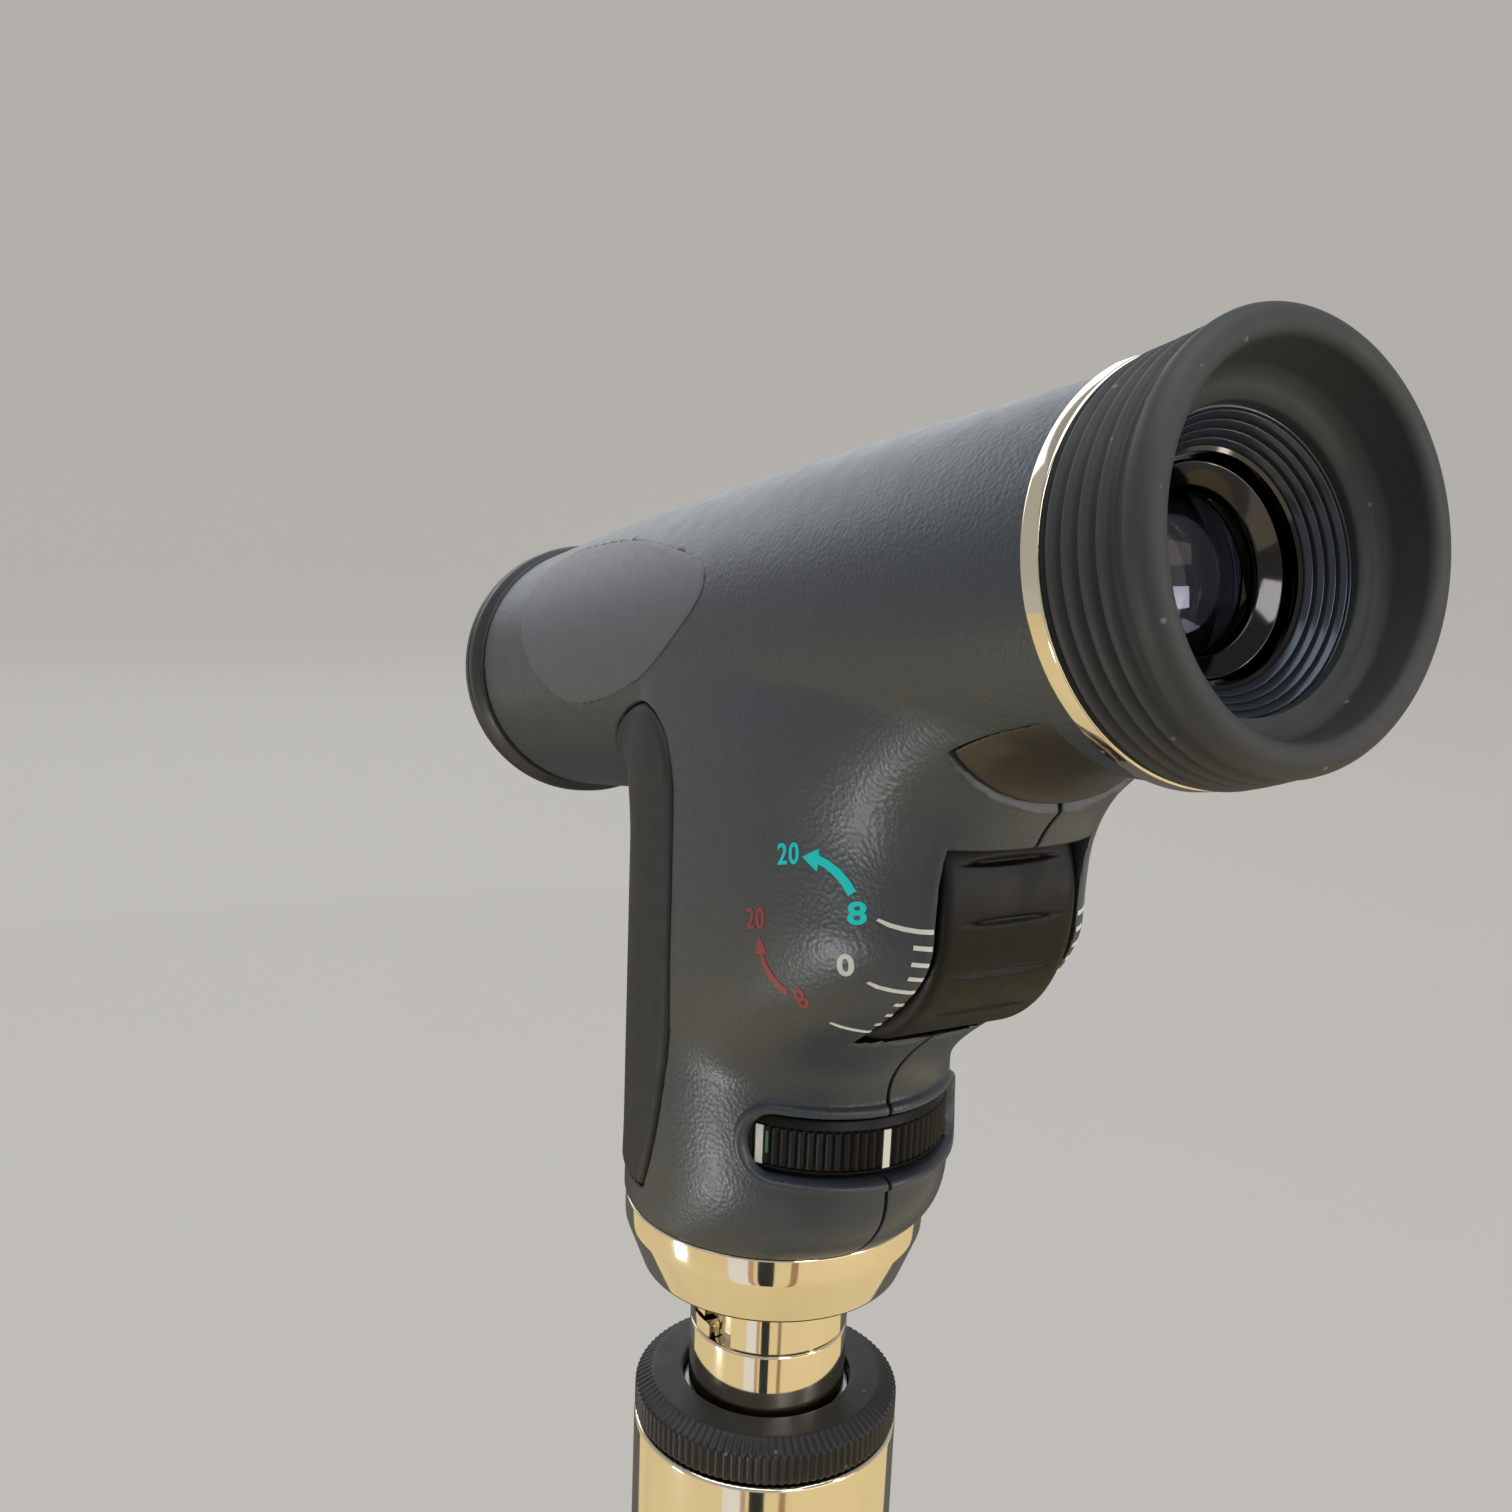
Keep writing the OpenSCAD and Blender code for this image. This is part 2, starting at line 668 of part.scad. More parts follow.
module shell_cuts() {
    head() neck_loft(-shell_wall, collar_h - 1, neck_top_h);
    barrel() translate([0, 0, -front_len - 1]) cylinder(r = bore_r, h = front_len + rear_len + 2);
    head() translate([0, 0, collar_h - 1]) cylinder(r = spigot_r, h = spigot_h + 1);
    // Focus window and the room round the wheel
    at_wheel() cross_rod(wheel_r + loose, window_w);
    head() translate([-window_w / 2, -boss_y - 10, window_low])
        cube([window_w, boss_y + 10 - wheel_y + 2, window_top - window_low]);
    // Dial window
    head() translate([0, -dial_y, dial_z - gap]) cylinder(r = dial_r + gap, h = dial_t + 2 * gap);
    head() intersection() {
        translate([0, -dial_y, dial_z - gap]) cylinder(r = dial_r + 2, h = dial_t + 2 * gap);
        behind(dial_end_y);
    }
}

// Everything further than y behind the handle axis
module behind(y) {
    reach = 100;
    translate([-reach / 2, -reach - y, 0]) cube([reach, reach, reach]);
}

// Raised lips over and under the dial window
module dial_lips() {
    lip_w = 0.8;
    lip_r = dial_r + gap + 0.5;
    for (z = [dial_z - gap - lip_w, dial_z + dial_t + gap]) head() intersection() {
        translate([0, -dial_y, z]) tube(lip_r, dial_r - 1.4, lip_w);
        behind(dial_end_y);
    }
}

module axle_bosses() {
    inner_x = rack_x0 + rack_w + gap;
    for (side = [-1, 1]) at_wheel() translate([side * (inner_x + 2.2), 0, 0]) cross_rod(boss_r, 4.4);
}

module screw_bosses() {
    for (z = screw_zs) head() translate([0, screw_y, z]) cross_rod(screw_r + 1.3, 2 * screw_head_x + 2.6);
}

module screw_holes() {
    for (z = screw_zs) head() translate([0, screw_y, z]) rotate([0, 90, 0]) {
        translate([0, 0, -screw_l]) cylinder(r = screw_r, h = screw_l + screw_head_x + eps);
        translate([0, 0, screw_head_x]) cylinder(r = screw_head_r, h = 10);
    }
}

module housing_whole() {
    difference() {
        union() {
            difference() {
                union() {
                    head_body(0);
                    dial_lips();
                }
                shell_cuts();
            }
            intersection() {
                axle_bosses();
                head() neck_loft(-shell_wall / 2, waist_h, neck_top_h);
            }
            screw_bosses();
        }
        at_wheel() cross_rod(axle_r + run_gap, axle_l + 0.6);
        screw_holes();
        // Seats of the grip and the labels
        difference() {
            intersection() {
                through_head() grip_outline();
                head_body(4);
            }
            head_body(-grip_depth);
        }
        intersection() {
            barrel_skin(label_proud - label_t, 4);
            union() {
                for (side = [-1, 1]) side_label_prism(side);
                under_label_prism();
            }
        }
    }
}

module half_space(side) {
    reach = 200;
    translate([side > 0 ? 0 : -reach, -reach / 2, handle_h]) cube([reach, reach, reach]);
}

module housing_left() {
    color("#4e5257") intersection() {
        housing_whole();
        half_space(-1);
    }
}

module housing_right() {
    color("#4e5257") intersection() {
        housing_whole();
        half_space(1);
    }
}

module housing_screws() {
    head_t = 1.6;
    slot_l = 3;
    color("#8d9093") for (z = screw_zs) head() translate([0, screw_y, z]) rotate([0, 90, 0]) {
        translate([0, 0, -screw_l]) cylinder(r = screw_r, h = screw_l + screw_head_x);
        translate([0, 0, screw_head_x]) difference() {
            cylinder(r = screw_head_r, h = head_t);
            translate([-slot_l / 2, -0.25, 1]) cube([slot_l, 0.5, 1]);
        }
    }
}

module front_grip() {
    color("#26282a") difference() {
        intersection() {
            through_head() grip_outline();
            head_body(grip_proud);
        }
        head_body(-grip_depth);
    }
}

module label_left() {
    color("#696a70") intersection() {
        barrel_skin(label_proud - label_t, label_proud);
        side_label_prism(-1);
    }
}

module label_right() {
    color("#696a70") intersection() {
        barrel_skin(label_proud - label_t, label_proud);
        side_label_prism(1);
    }
}

module label_under() {
    color("#4a463c") intersection() {
        barrel_skin(label_proud - label_t, label_proud - 0.3);
        under_label_prism();
    }
}

// ---------------------------------------------------------------- lighting

module frame_plate(z) {
    translate([0, 0, z]) linear_extrude(frame_t) {
        circle(r = front_y - shell_wall - 0.4);
        translate([0, -dial_y]) circle(r = 8);
    }
}

module neck_frame() {
    color("#9a9da0") head() difference() {
        union() {
            frame_plate(frame_z);
            frame_plate(upper_z);
            for (k = [-1, 1]) translate([k * pillar_x, pillar_y, frame_z])
                cylinder(r = pillar_r, h = upper_z - frame_z + eps);
        }
        translate([0, 0, frame_z - 1]) cylinder(r = lamp_r + 0.2, h = frame_t + 2);
        translate([0, 0, upper_z - 1]) cylinder(r = lamp_r, h = frame_t + 2);
        translate([0, -dial_y, frame_z - 1]) cylinder(r = 1.5, h = upper_z - frame_z + frame_t + 2);
        translate([-detent_x, -dial_y, upper_z - 1]) cylinder(r = 1, h = frame_t + 2);
    }
}

module dial_axle() {
    color("#9a9da0") head() translate([0, -dial_y, frame_z])
        cylinder(r = 1.5, h = upper_z + frame_t - frame_z);
}

module station_places() {
    for (k = [0 : stations - 1]) rotate(90 + k * 360 / stations) translate([station_r, 0, 0]) children();
}

web_z = 2;
web_t = 1.4;
module aperture_dial() {
    bevel = 1;
    rib = 0.25;
    color("#242527") head() translate([0, -dial_y, dial_z]) difference() {
        union() {
            linear_extrude(dial_t - bevel) ribbed(dial_r, rib, dial_ribs);
            translate([0, 0, dial_t - bevel - eps]) cylinder(r1 = dial_r - rib - 0.05, r2 = dial_r - 2 * rib - 0.05,
                h = bevel + eps);
        }
        difference() {
            translate([0, 0, -1]) cylinder(r = dial_r - 1.2, h = web_z + 1);
            translate([0, 0, -2]) cylinder(r = 3, h = web_z + 3);
        }
        difference() {
            translate([0, 0, web_z + web_t]) cylinder(r = dial_r - 1.2, h = dial_t);
            cylinder(r = 3, h = dial_t + 1);
        }
        translate([0, 0, -1]) cylinder(r = 1.5 + run_gap, h = dial_t + 2);
        station_places() translate([0, 0, -1]) cylinder(r = hole_r, h = dial_t + 2);
    }
}

module aperture_disc() {
    stops = [2.2, 1.5, 0.9, 0.5, 2.2, 2.2];
    color("#b5b8ba") head() translate([0, -dial_y, dial_z + web_z - 0.5]) difference() {
        tube(dial_r - 1.2, 3, 0.5);
        for (k = [0 : stations - 1]) rotate(90 + k * 360 / stations) translate([station_r, 0, -1])
            cylinder(r = stops[k], h = 3);
    }
}

module filter_at(k) {
    head() translate([0, -dial_y, dial_z + web_z]) rotate(90 + k * 360 / stations)
        translate([station_r, 0, 0]) cylinder(r = hole_r, h = 1);
}

module green_filter() {
    color("#3fae6a") filter_at(stations - 1);
}

module blue_filter() {
    color("#3c6fc4") filter_at(stations - 2);
}

module detent_plunger() {
    low = dial_z + web_z + web_t + gap;
    color("#c8a24a") head() translate([-detent_x, -dial_y, low]) {
        translate([0, 0, 1]) cylinder(r = 1, h = upper_z + frame_t - low - 1);
        translate([0, 0, 1]) sphere(r = 1);
    }
}

condenser_z = upper_z + frame_t;
module condenser_tube() {
    color("#303234") head() translate([0, 0, condenser_z]) tube(5.4, lamp_r, 12);
}

module condenser_lens() {
    color("#dfe9ee") head() translate([0, 0, condenser_z + 8]) lens(lamp_r, 2, 0.9);
}

// ---------------------------------------------------------------- viewing optics

module bulkhead(s) {
    difference() {
        intersection() {
            translate([0, 0, s]) tube(bore_r, 6.4, bulk_t);
            translate([-bore_r, -11.4, s - 1]) cube([2 * bore_r, 30, bulk_t + 2]);
        }
        for (k = [-1, 1]) translate([k * rod_x, rod_v, s - 1]) cylinder(r = rod_r, h = bulk_t + 2);
    }
}

module front_bulkhead() {
    color("#9a9da0") barrel() bulkhead(front_bulk_s);
}

module rear_bulkhead() {
    color("#9a9da0") barrel() bulkhead(rear_bulk_s);
}

module guide_rods() {
    color("#9a9da0") barrel() for (k = [-1, 1]) translate([k * rod_x, rod_v, rod_s0])
        cylinder(r = rod_r, h = rod_s1 - rod_s0);
}

// The block that holds the mirror over the lamp's beam, fixed to the front bulkhead
module mirror_block() {
    low = mirror_face[1];
    high = mirror_face[0];
    color("#303234") barrel() rotate([0, -90, 0]) translate([0, 0, -4.6]) linear_extrude(9.2)
        polygon([high, low, [front_bulk_s, low[1]], [front_bulk_s, -7], [high[0] + 1.6, high[1]]]);
}

module mirror() {
    along = mirror_face[1] - mirror_face[0];
    out = [along[1], -along[0]] / norm(along) * 0.6;
    color("#e8edf0") barrel() rotate([0, -90, 0]) translate([0, 0, -4.2]) linear_extrude(8.4)
        polygon([mirror_face[0], mirror_face[1], mirror_face[1] + out, mirror_face[0] + out]);
}

module rack_bar() {
    p = PI * tooth_module;
    add = 0.45;
    root = 0.6;
    count = ceil(2 * (focus_turn * PI / 180 * pitch_r + p) / p);
    half = count * p / 2;
    top = tooth_module * 0.36;
    foot = tooth_module * 0.36 + (add + root) * tan(20);
    translate([rack_x0, rack_v, wheel_s]) rotate([0, 90, 0]) linear_extrude(rack_w) {
        translate([-half, root]) square([2 * half, 1.9]);
        for (i = [0 : count - 1]) translate([-half + (i + 0.5) * p, 0])
            polygon([[-foot, root + eps], [-top, -add], [top, -add], [foot, root + eps]]);
    }
}

module lens_carriage() {
    arm_l = 10;
    color("#3a3d40") barrel() difference() {
        union() {
            translate([0, 0, carriage_s]) tube(carriage_d / 2, focus_lens_d / 2, carriage_l);
            rack_bar();
            translate([rack_x0, rack_v + 1, wheel_s - arm_l / 2]) cube([rack_w, rod_v - rack_v + 1, arm_l]);
            translate([-rod_x, rod_v - 1, wheel_s - arm_l / 2]) cube([2 * rod_x, 2, arm_l]);
            for (k = [-1, 1]) translate([k * rod_x, rod_v, wheel_s - arm_l / 2])
                cylinder(r = rod_r + 1.1, h = arm_l);
        }
        for (k = [-1, 1]) translate([k * rod_x, rod_v, 0]) cylinder(r = rod_r + run_gap, h = rear_bulk_s);
        translate([0, 0, carriage_s - 1]) cylinder(r = focus_lens_d / 2, h = carriage_l + 2);
    }
}

module focus_lens() {
    color("#dfe9ee") barrel() translate([0, 0, wheel_s - 1.5]) lens(focus_lens_d / 2, 3, 1.2);
}

module focus_wheel() {
    edge = 0.9;
    groove_r = 1;
    groove_turn = 1.6;
    color("#28292b") at_wheel() difference() {
        rotate([0, 90, 0]) rotate_extrude() polygon([[axle_r, -wheel_w / 2], [wheel_r - edge, -wheel_w / 2],
            [wheel_r - 0.25, -wheel_w / 2 + 0.3], [wheel_r, -wheel_w / 2 + edge],
            [wheel_r, wheel_w / 2 - edge], [wheel_r - 0.25, wheel_w / 2 - 0.3],
            [wheel_r - edge, wheel_w / 2], [axle_r, wheel_w / 2]]);
        for (i = [0 : wheel_grooves - 1]) rotate([i * 360 / wheel_grooves + groove_turn, 0, 0])
            translate([0, wheel_r + groove_r - 0.4, 0]) cross_rod(groove_r, wheel_w * 0.66);
        for (side = [-1, 1]) translate([side * (wheel_w / 2 - 2), 0, 0]) difference() {
            cross_rod(wheel_r - 2.6, 4 + eps);
            cross_rod(4.6, 6);
        }
    }
}

module focus_axle() {
    color("#9a9da0") at_wheel() cross_rod(axle_r, axle_l);
}

module focus_pinion() {
    add = 0.45;
    root = 0.6;
    tip = tooth_module * 0.34;
    flank = tooth_module * 0.72;
    foot = tooth_module * 0.8;
    color("#c8a24a") at_wheel() rotate([-barrel_tilt, 0, 0]) difference() {
        translate([wheel_w / 2, 0, 0]) rotate([0, 90, 0]) {
            linear_extrude(rack_x0 + rack_w - wheel_w / 2) {
                circle(r = pitch_r - root);
                for (i = [0 : pinion_teeth - 1]) rotate((i + 0.5) * 360 / pinion_teeth)
                    polygon([[pitch_r - root - 0.3, -foot], [pitch_r, -flank], [pitch_r + add, -tip],
                        [pitch_r + add, tip], [pitch_r, flank], [pitch_r - root - 0.3, foot]]);
            }
        }
        cross_rod(axle_r, 4 * wheel_w);
    }
}

module front_ring() {
    s0 = -front_len - front_ring_l;
    r = front_ring_d / 2;
    seat_s = -front_len + 4.25;
    color("#2b2d30") barrel() rotate_extrude() polygon([[objective_d / 2 + 0.6, s0], [r - 1.2, s0],
        [r - 0.4, s0 + 0.4], [r, s0 + 1.2], [r, s0 + 3], [r - 0.75, -front_len - 0.7],
        [r - 1.4, -front_len - 0.6], [r - 1.4, -front_len], [bore_r, -front_len], [bore_r, -front_len + 8],
        [objective_d / 2 - 1, -front_len + 8], [objective_d / 2 - 1, seat_s],
        [objective_d / 2, seat_s], [objective_d / 2, s0 + 2.2], [objective_d / 2 + 0.6, s0 + 1.6]]);
}

module objective_lens() {
    color("#b7c8d6") barrel() translate([0, 0, -front_len + 1.5]) lens(objective_d / 2, 2.5, 1.6);
}

module objective_retainer() {
    color("#3a3d40") barrel() translate([0, 0, -front_len - 0.3])
        tube(objective_d / 2, objective_d / 2 - 1.2, 1.4);
}

module rear_ring() {
    r = 15.2;
    color("#d6b98a") barrel() rotate_extrude() polygon([[bore_r, rear_len], [r - 0.5, rear_len],
        [r, rear_len + 0.5], [r, cup_s - 0.2], [r - 0.2, cup_s], [bore_r, cup_s]]);
}

eyepiece_s0 = rear_bulk_s + bulk_t + 4;
eyepiece_lens_t = 3;
retainer_s = rear_len - 3.2;
step_s0 = cup_s - 0.15;
step_r0 = eyepiece_bore / 2 + 0.65;
module eyepiece_barrel() {
    rise = 0.56;
    run = 0.5;
    end_s = step_s0 + eyepiece_steps * rise;
    steps = [for (k = [0 : eyepiece_steps - 1], e = [0, 1])
        [step_r0 + k * run + (e == 0 ? 0 : run - 0.12), step_s0 + (k + e) * rise - (e == 0 ? 0 : 0.2)]];
    color("#4b5158") barrel() rotate_extrude() polygon(concat([[eyepiece_bore / 2, eyepiece_s0],
        [eyepiece_bore / 2, step_s0 - 1], [step_r0, step_s0 - 1]], steps,
        [[cup_bore_r, end_s], [cup_bore_r, cup_s], [bore_r, cup_s], [bore_r, eyepiece_s0]]));
}

module eyepiece_lens() {
    color("#26233a") barrel() translate([0, 0, retainer_s - 0.45 - eyepiece_lens_t])
        lens(eyepiece_bore / 2, eyepiece_lens_t, 1.8);
}

module eyepiece_retainer() {
    back = rear_len + 0.8;
    color("#3b3a38") barrel() rotate_extrude() polygon([[eyepiece_bore / 2, retainer_s],
        [eyepiece_bore / 2, back], [eyepiece_bore / 2 - 0.3, back], [pupil_d / 2, back - 0.8],
        [pupil_d / 2 - 0.2, back - 1.2], [pupil_d / 2 - 0.2, rear_len - 1.4], [pupil_d / 2 + 1, retainer_s]]);
}

module eyecup() {
    end_s = step_s0 + eyepiece_steps * 0.56;
    crest = 15.2;
    groove = 0.45;
    mouth_step_r = 10.4;
    lip_r = lip_d / 2;
    mouth_r = mouth_d / 2;
    round_r = (lip_r - mouth_r) / 2;
    mid_r = (lip_r + mouth_r) / 2;
    rib_s = cup_s + 0.5;
    pitch = (cup_end - 2 * round_r - rib_s) / cup_ribs;
    ribs = [for (k = [0 : cup_ribs - 1], a = [0 : 45 : 179])
        [crest - groove + groove * sin(a), rib_s + (k + 0.5 - 0.46 * cos(a)) * pitch]];
    lip = [for (a = [0 : 22.5 : 180]) [mid_r + round_r * cos(a), cup_end - round_r + round_r * sin(a)]];
    color("#232526") barrel() rotate_extrude() polygon(concat([[cup_bore_r, cup_s], [crest - 0.3, cup_s]], ribs,
        [[crest - 0.3, rib_s + cup_ribs * pitch + 0.2]], lip,
        [[cup_bore_r, end_s + 1.3], [mouth_step_r, end_s + 0.3], [mouth_step_r, end_s],
        [cup_bore_r, end_s]]));
}

base_cap();
charge_contact();
charge_insulator();
battery_spring();
battery();
handle_tube();
grip_sleeve();
terminal_disc();
terminal_rivet();
rheostat_track();
neck();
neck_insulator();
contact_pin();
ring_clip();
switch_ring();
rheostat_wiper();
lock_button();
lock_spring();
collar();
lamp_socket();
lamp_base();
lamp_bulb();
housing_left();
housing_right();
housing_screws();
front_grip();
label_left();
label_right();
label_under();
neck_frame();
dial_axle();
aperture_dial();
aperture_disc();
green_filter();
blue_filter();
detent_plunger();
condenser_tube();
condenser_lens();
front_bulkhead();
rear_bulkhead();
guide_rods();
mirror_block();
mirror();
lens_carriage();
focus_lens();
focus_wheel();
focus_axle();
focus_pinion();
front_ring();
objective_lens();
objective_retainer();
rear_ring();
eyepiece_barrel();
eyepiece_lens();
eyepiece_retainer();
eyecup();
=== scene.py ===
import json
import math

import bmesh
import bpy
import numpy as np
from mathutils import Matrix, Vector
from mathutils.geometry import tessellate_polygon


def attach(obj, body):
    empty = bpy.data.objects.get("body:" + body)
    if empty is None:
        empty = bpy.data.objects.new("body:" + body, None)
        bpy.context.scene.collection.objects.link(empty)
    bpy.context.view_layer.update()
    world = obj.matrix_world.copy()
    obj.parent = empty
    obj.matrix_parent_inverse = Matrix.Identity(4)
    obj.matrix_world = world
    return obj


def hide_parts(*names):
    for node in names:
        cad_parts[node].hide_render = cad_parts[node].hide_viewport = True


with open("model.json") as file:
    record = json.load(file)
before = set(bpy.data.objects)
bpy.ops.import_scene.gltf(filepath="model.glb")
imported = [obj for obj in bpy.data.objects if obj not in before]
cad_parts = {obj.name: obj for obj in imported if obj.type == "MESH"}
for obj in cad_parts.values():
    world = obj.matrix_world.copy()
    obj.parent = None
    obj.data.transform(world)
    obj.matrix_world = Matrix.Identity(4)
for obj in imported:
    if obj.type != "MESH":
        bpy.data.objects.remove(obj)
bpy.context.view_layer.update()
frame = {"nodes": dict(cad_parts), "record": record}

# ---- sizes, in millimetres

MM = 0.001
RIM = 132.0  # height of the handle tube's rim; heights of the head start there
TILT = math.radians(11.6)  # rise of the barrel towards the examiner
AXIS_H = 86.3  # height of the barrel axis over the handle axis
BARREL_R = 15.85
CROWN_S, CROWN_K = -15.0, 0.00029
BORE_R = 13.2
FRONT_S, REAR_S = -54.9, 56.1  # ends of the head shells along the barrel
CUP_S, CUP_END = 58.2, 66.3  # start and end of the eyecup
COLLAR_R, COLLAR_H = 16.0, 26.5
WALL = 2.0
WHEEL_Y, WHEEL_H, WHEEL_R, WHEEL_W = 23.6, 68.0, 14.2, 13.6
WINDOW_HALF, WINDOW_LOW, WINDOW_TOP = 7.1, 54.4, 74.1
DIAL_Y, DIAL_R, DIAL_LOW, DIAL_T = 8.6, 12.75, 37.5, 5.6
DIAL_MID = DIAL_LOW + DIAL_T / 2
SLOT_R, SLOT_REACH, SLOT_HALF = 12.95, 10.9, 3.1  # the dial's window, measured round the dial
SEAM = 0.17  # half of the gap between the shells at their skin
SIN, COS = math.sin(TILT), math.cos(TILT)


def mix(a, b, t):
    return a + (b - a) * t


def part_of(a, b, v):
    return np.clip((v - a) / (b - a), 0.0, 1.0)


def smooth(t):
    return t * t * (3 - 2 * t)


# ---- frames

def along_barrel(y, z):
    """Place along the barrel and height over its axis, of a place in the head's own frame."""
    return -y * COS + (z - AXIS_H) * SIN, y * SIN + (z - AXIS_H) * COS


def from_barrel(x, s, h):
    """The head's own frame, of a place across, along and over the barrel."""
    return x, -s * COS + h * SIN, AXIS_H + s * SIN + h * COS


def head_place(points):
    """Points of the head's own frame in the shared frame."""
    return np.asarray(points, float) + np.array([0.0, 0.0, RIM])


def barrel_place(points):
    """Points (across, over, along) of the barrel's own frame in the shared frame."""
    p = np.asarray(points, float)
    x, y, z = from_barrel(p[:, 0], p[:, 2], p[:, 1])
    return np.stack([x, y, z + RIM], axis=1)


def wheel_place(points):
    """Points round the focus axle, which runs along local Z, in the shared frame."""
    p = np.asarray(points, float)
    return np.stack([p[:, 2], p[:, 0] - WHEEL_Y, p[:, 1] + WHEEL_H + RIM], axis=1)


def dial_place(points):
    return np.asarray(points, float) + np.array([0.0, -DIAL_Y, RIM])


# ---- pieces

def mesh_object(name, points, faces, unit=MM):
    """A linked object with a mesh of points, given in the unit, and faces."""
    mesh = bpy.data.meshes.new(name)
    mesh.from_pydata((np.asarray(points) * unit).tolist(), [], [list(f) for f in faces])
    made = bpy.data.objects.new(name, mesh)
    bpy.context.collection.objects.link(made)
    return made


def evaluated_mesh(made):
    """A new mesh of the object as its modifiers or its text leave it."""
    bpy.context.view_layer.update()
    return bpy.data.meshes.new_from_object(made.evaluated_get(bpy.context.evaluated_depsgraph_get()))


def add_piece(name, points, faces, body, slot, nodes=(), sharp=35.0, look=None):
    """A mesh piece from points in millimetres, riding on a body and standing for CAD nodes. Its material
    is its slot's, unless a look is given."""
    piece = mesh_object(name, points, faces)
    piece.data.validate()
    piece.data.materials.append(look or MATERIALS[slot])
    piece.data.shade_smooth()
    piece.data.set_sharp_from_angle(angle=math.radians(sharp))
    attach(piece, body)
    if nodes:
        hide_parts(*nodes)
    return piece


def welded(points, faces, weld=1e-4):
    """A bmesh of points and faces, in which points that lie together are one."""
    work = bmesh.new()
    verts = [work.verts.new(p) for p in np.asarray(points, float)]
    for face in faces:
        if len(set(face)) > 2:
            work.faces.new([verts[i] for i in face])
    bmesh.ops.remove_doubles(work, verts=work.verts, dist=weld)
    bmesh.ops.dissolve_degenerate(work, dist=weld, edges=work.edges)
    return work


def tidy_mesh(points, faces, weld=1e-4):
    """Welds points that lie together and turns every face outward."""
    work = welded(points, faces, weld)
    bmesh.ops.recalc_face_normals(work, faces=work.faces)
    work.verts.index_update()
    out = np.array([v.co[:] for v in work.verts])
    rows = [[v.index for v in f.verts] for f in work.faces]
    work.free()
    return out, rows


def rounded(corners, arc=5):
    """A closed outline whose corners (u, v, radius) are rounded by arcs."""
    out = []
    count = len(corners)
    for i, corner in enumerate(corners):
        p = np.array(corner[:2], float)
        radius = corner[2] if len(corner) > 2 else 0.0
        if radius <= 0:
            out.append(p)
            continue
        before = np.array(corners[i - 1][:2], float) - p
        after = np.array(corners[(i + 1) % count][:2], float) - p
        lb, la = np.linalg.norm(before), np.linalg.norm(after)
        step = min(radius, 0.48 * lb, 0.48 * la)
        a, b = p + before / lb * step, p + after / la * step
        for t in np.linspace(0, 1, arc + 1):
            out.append((1 - t) ** 2 * a + 2 * t * (1 - t) * p + t * t * b)
    return np.array(out)


def ring_faces(rows, cols, closed_rows=True):
    """Quads of a grid that closes round its columns and, if asked, round its rows."""
    faces = []
    for i in range(rows if closed_rows else rows - 1):
        k = (i + 1) % rows
        for j in range(cols):
            n = (j + 1) % cols
            faces.append((i * cols + j, i * cols + n, k * cols + n, k * cols + j))
    return faces


def turned(profile, sides=144, cut=None):
    """Points and faces of a closed profile (radius, height) turned round Z. cut(radius, height, angle)
    may give another radius."""
    angle = np.arange(sides) * 2 * math.pi / sides
    r, a = np.meshgrid(profile[:, 0], angle, indexing="ij")
    z = np.repeat(profile[:, 1:], sides, axis=1)
    if cut is not None:
        r = cut(r, z, a)
    points = np.stack([r * np.cos(a), r * np.sin(a), z], axis=2).reshape(-1, 3)
    return tidy_mesh(points, ring_faces(len(profile), sides))


def split_long(profile, longest):
    """The closed profile with its long runs divided."""
    out = []
    for i, p in enumerate(profile):
        q = profile[(i + 1) % len(profile)]
        parts = max(1, int(math.ceil(np.linalg.norm(q - p) / longest)))
        out.extend(mix(p, q, k / parts) for k in range(parts))
    return np.array(out)


# ---- distance fields of the head

def smooth_min(a, b, k):
    h = np.clip(0.5 + 0.5 * (b - a) / k, 0.0, 1.0)
    return b + (a - b) * h - k * h * (1 - h)


def smooth_max(a, b, k):
    return -smooth_min(-a, -b, k)


def back_reach(z):
    low = mix(COLLAR_R, 21.8, 1 - (1 - part_of(COLLAR_H, 35, z)) ** 2)
    waist = mix(21.8, 21.1, smooth(part_of(35, 45, z)))
    boss = mix(21.1, 38.8, smooth(part_of(45, 66, z)))
    top = 38.8 + 3.4 * part_of(66, 84, z) ** 2
    return np.where(z < 35, low, np.where(z < 45, waist, np.where(z < 66, boss, top)))


def front_reach(z):
    return mix(COLLAR_R, 15.2, smooth(part_of(COLLAR_H, 35, z)))


def half_width(z):
    return 16.0 - 0.7 * part_of(66, 84, z) ** 2


def neck_field(x, y, z):
    """About the distance from the neck's upright superellipse."""
    a = half_width(z)
    reach = np.where(y > 0, front_reach(z), back_reach(z))
    power = np.where(y > 0, 2.1, mix(2.0, 2.8, smooth(part_of(45, 58, z))))
    u = np.abs(x) / a + 1e-6
    v = np.abs(y) / reach + 1e-6
    g = (u ** power + v ** power) ** (1 / power)
    step = 0.5
    slope = np.where(y > 0, 0.0, (back_reach(z + step) - back_reach(z - step)) / (2 * step))
    gx = (u / g) ** (power - 1) / a
    gy = (v / g) ** (power - 1) / reach
    gz = gy * v * slope
    return (g - 1) / np.sqrt(gx ** 2 + gy ** 2 + gz ** 2)


def barrel_field(x, s, h):
    radius = np.sqrt(x ** 2 + h ** 2)
    return radius - (BARREL_R - CROWN_K * (s - CROWN_S) ** 2)


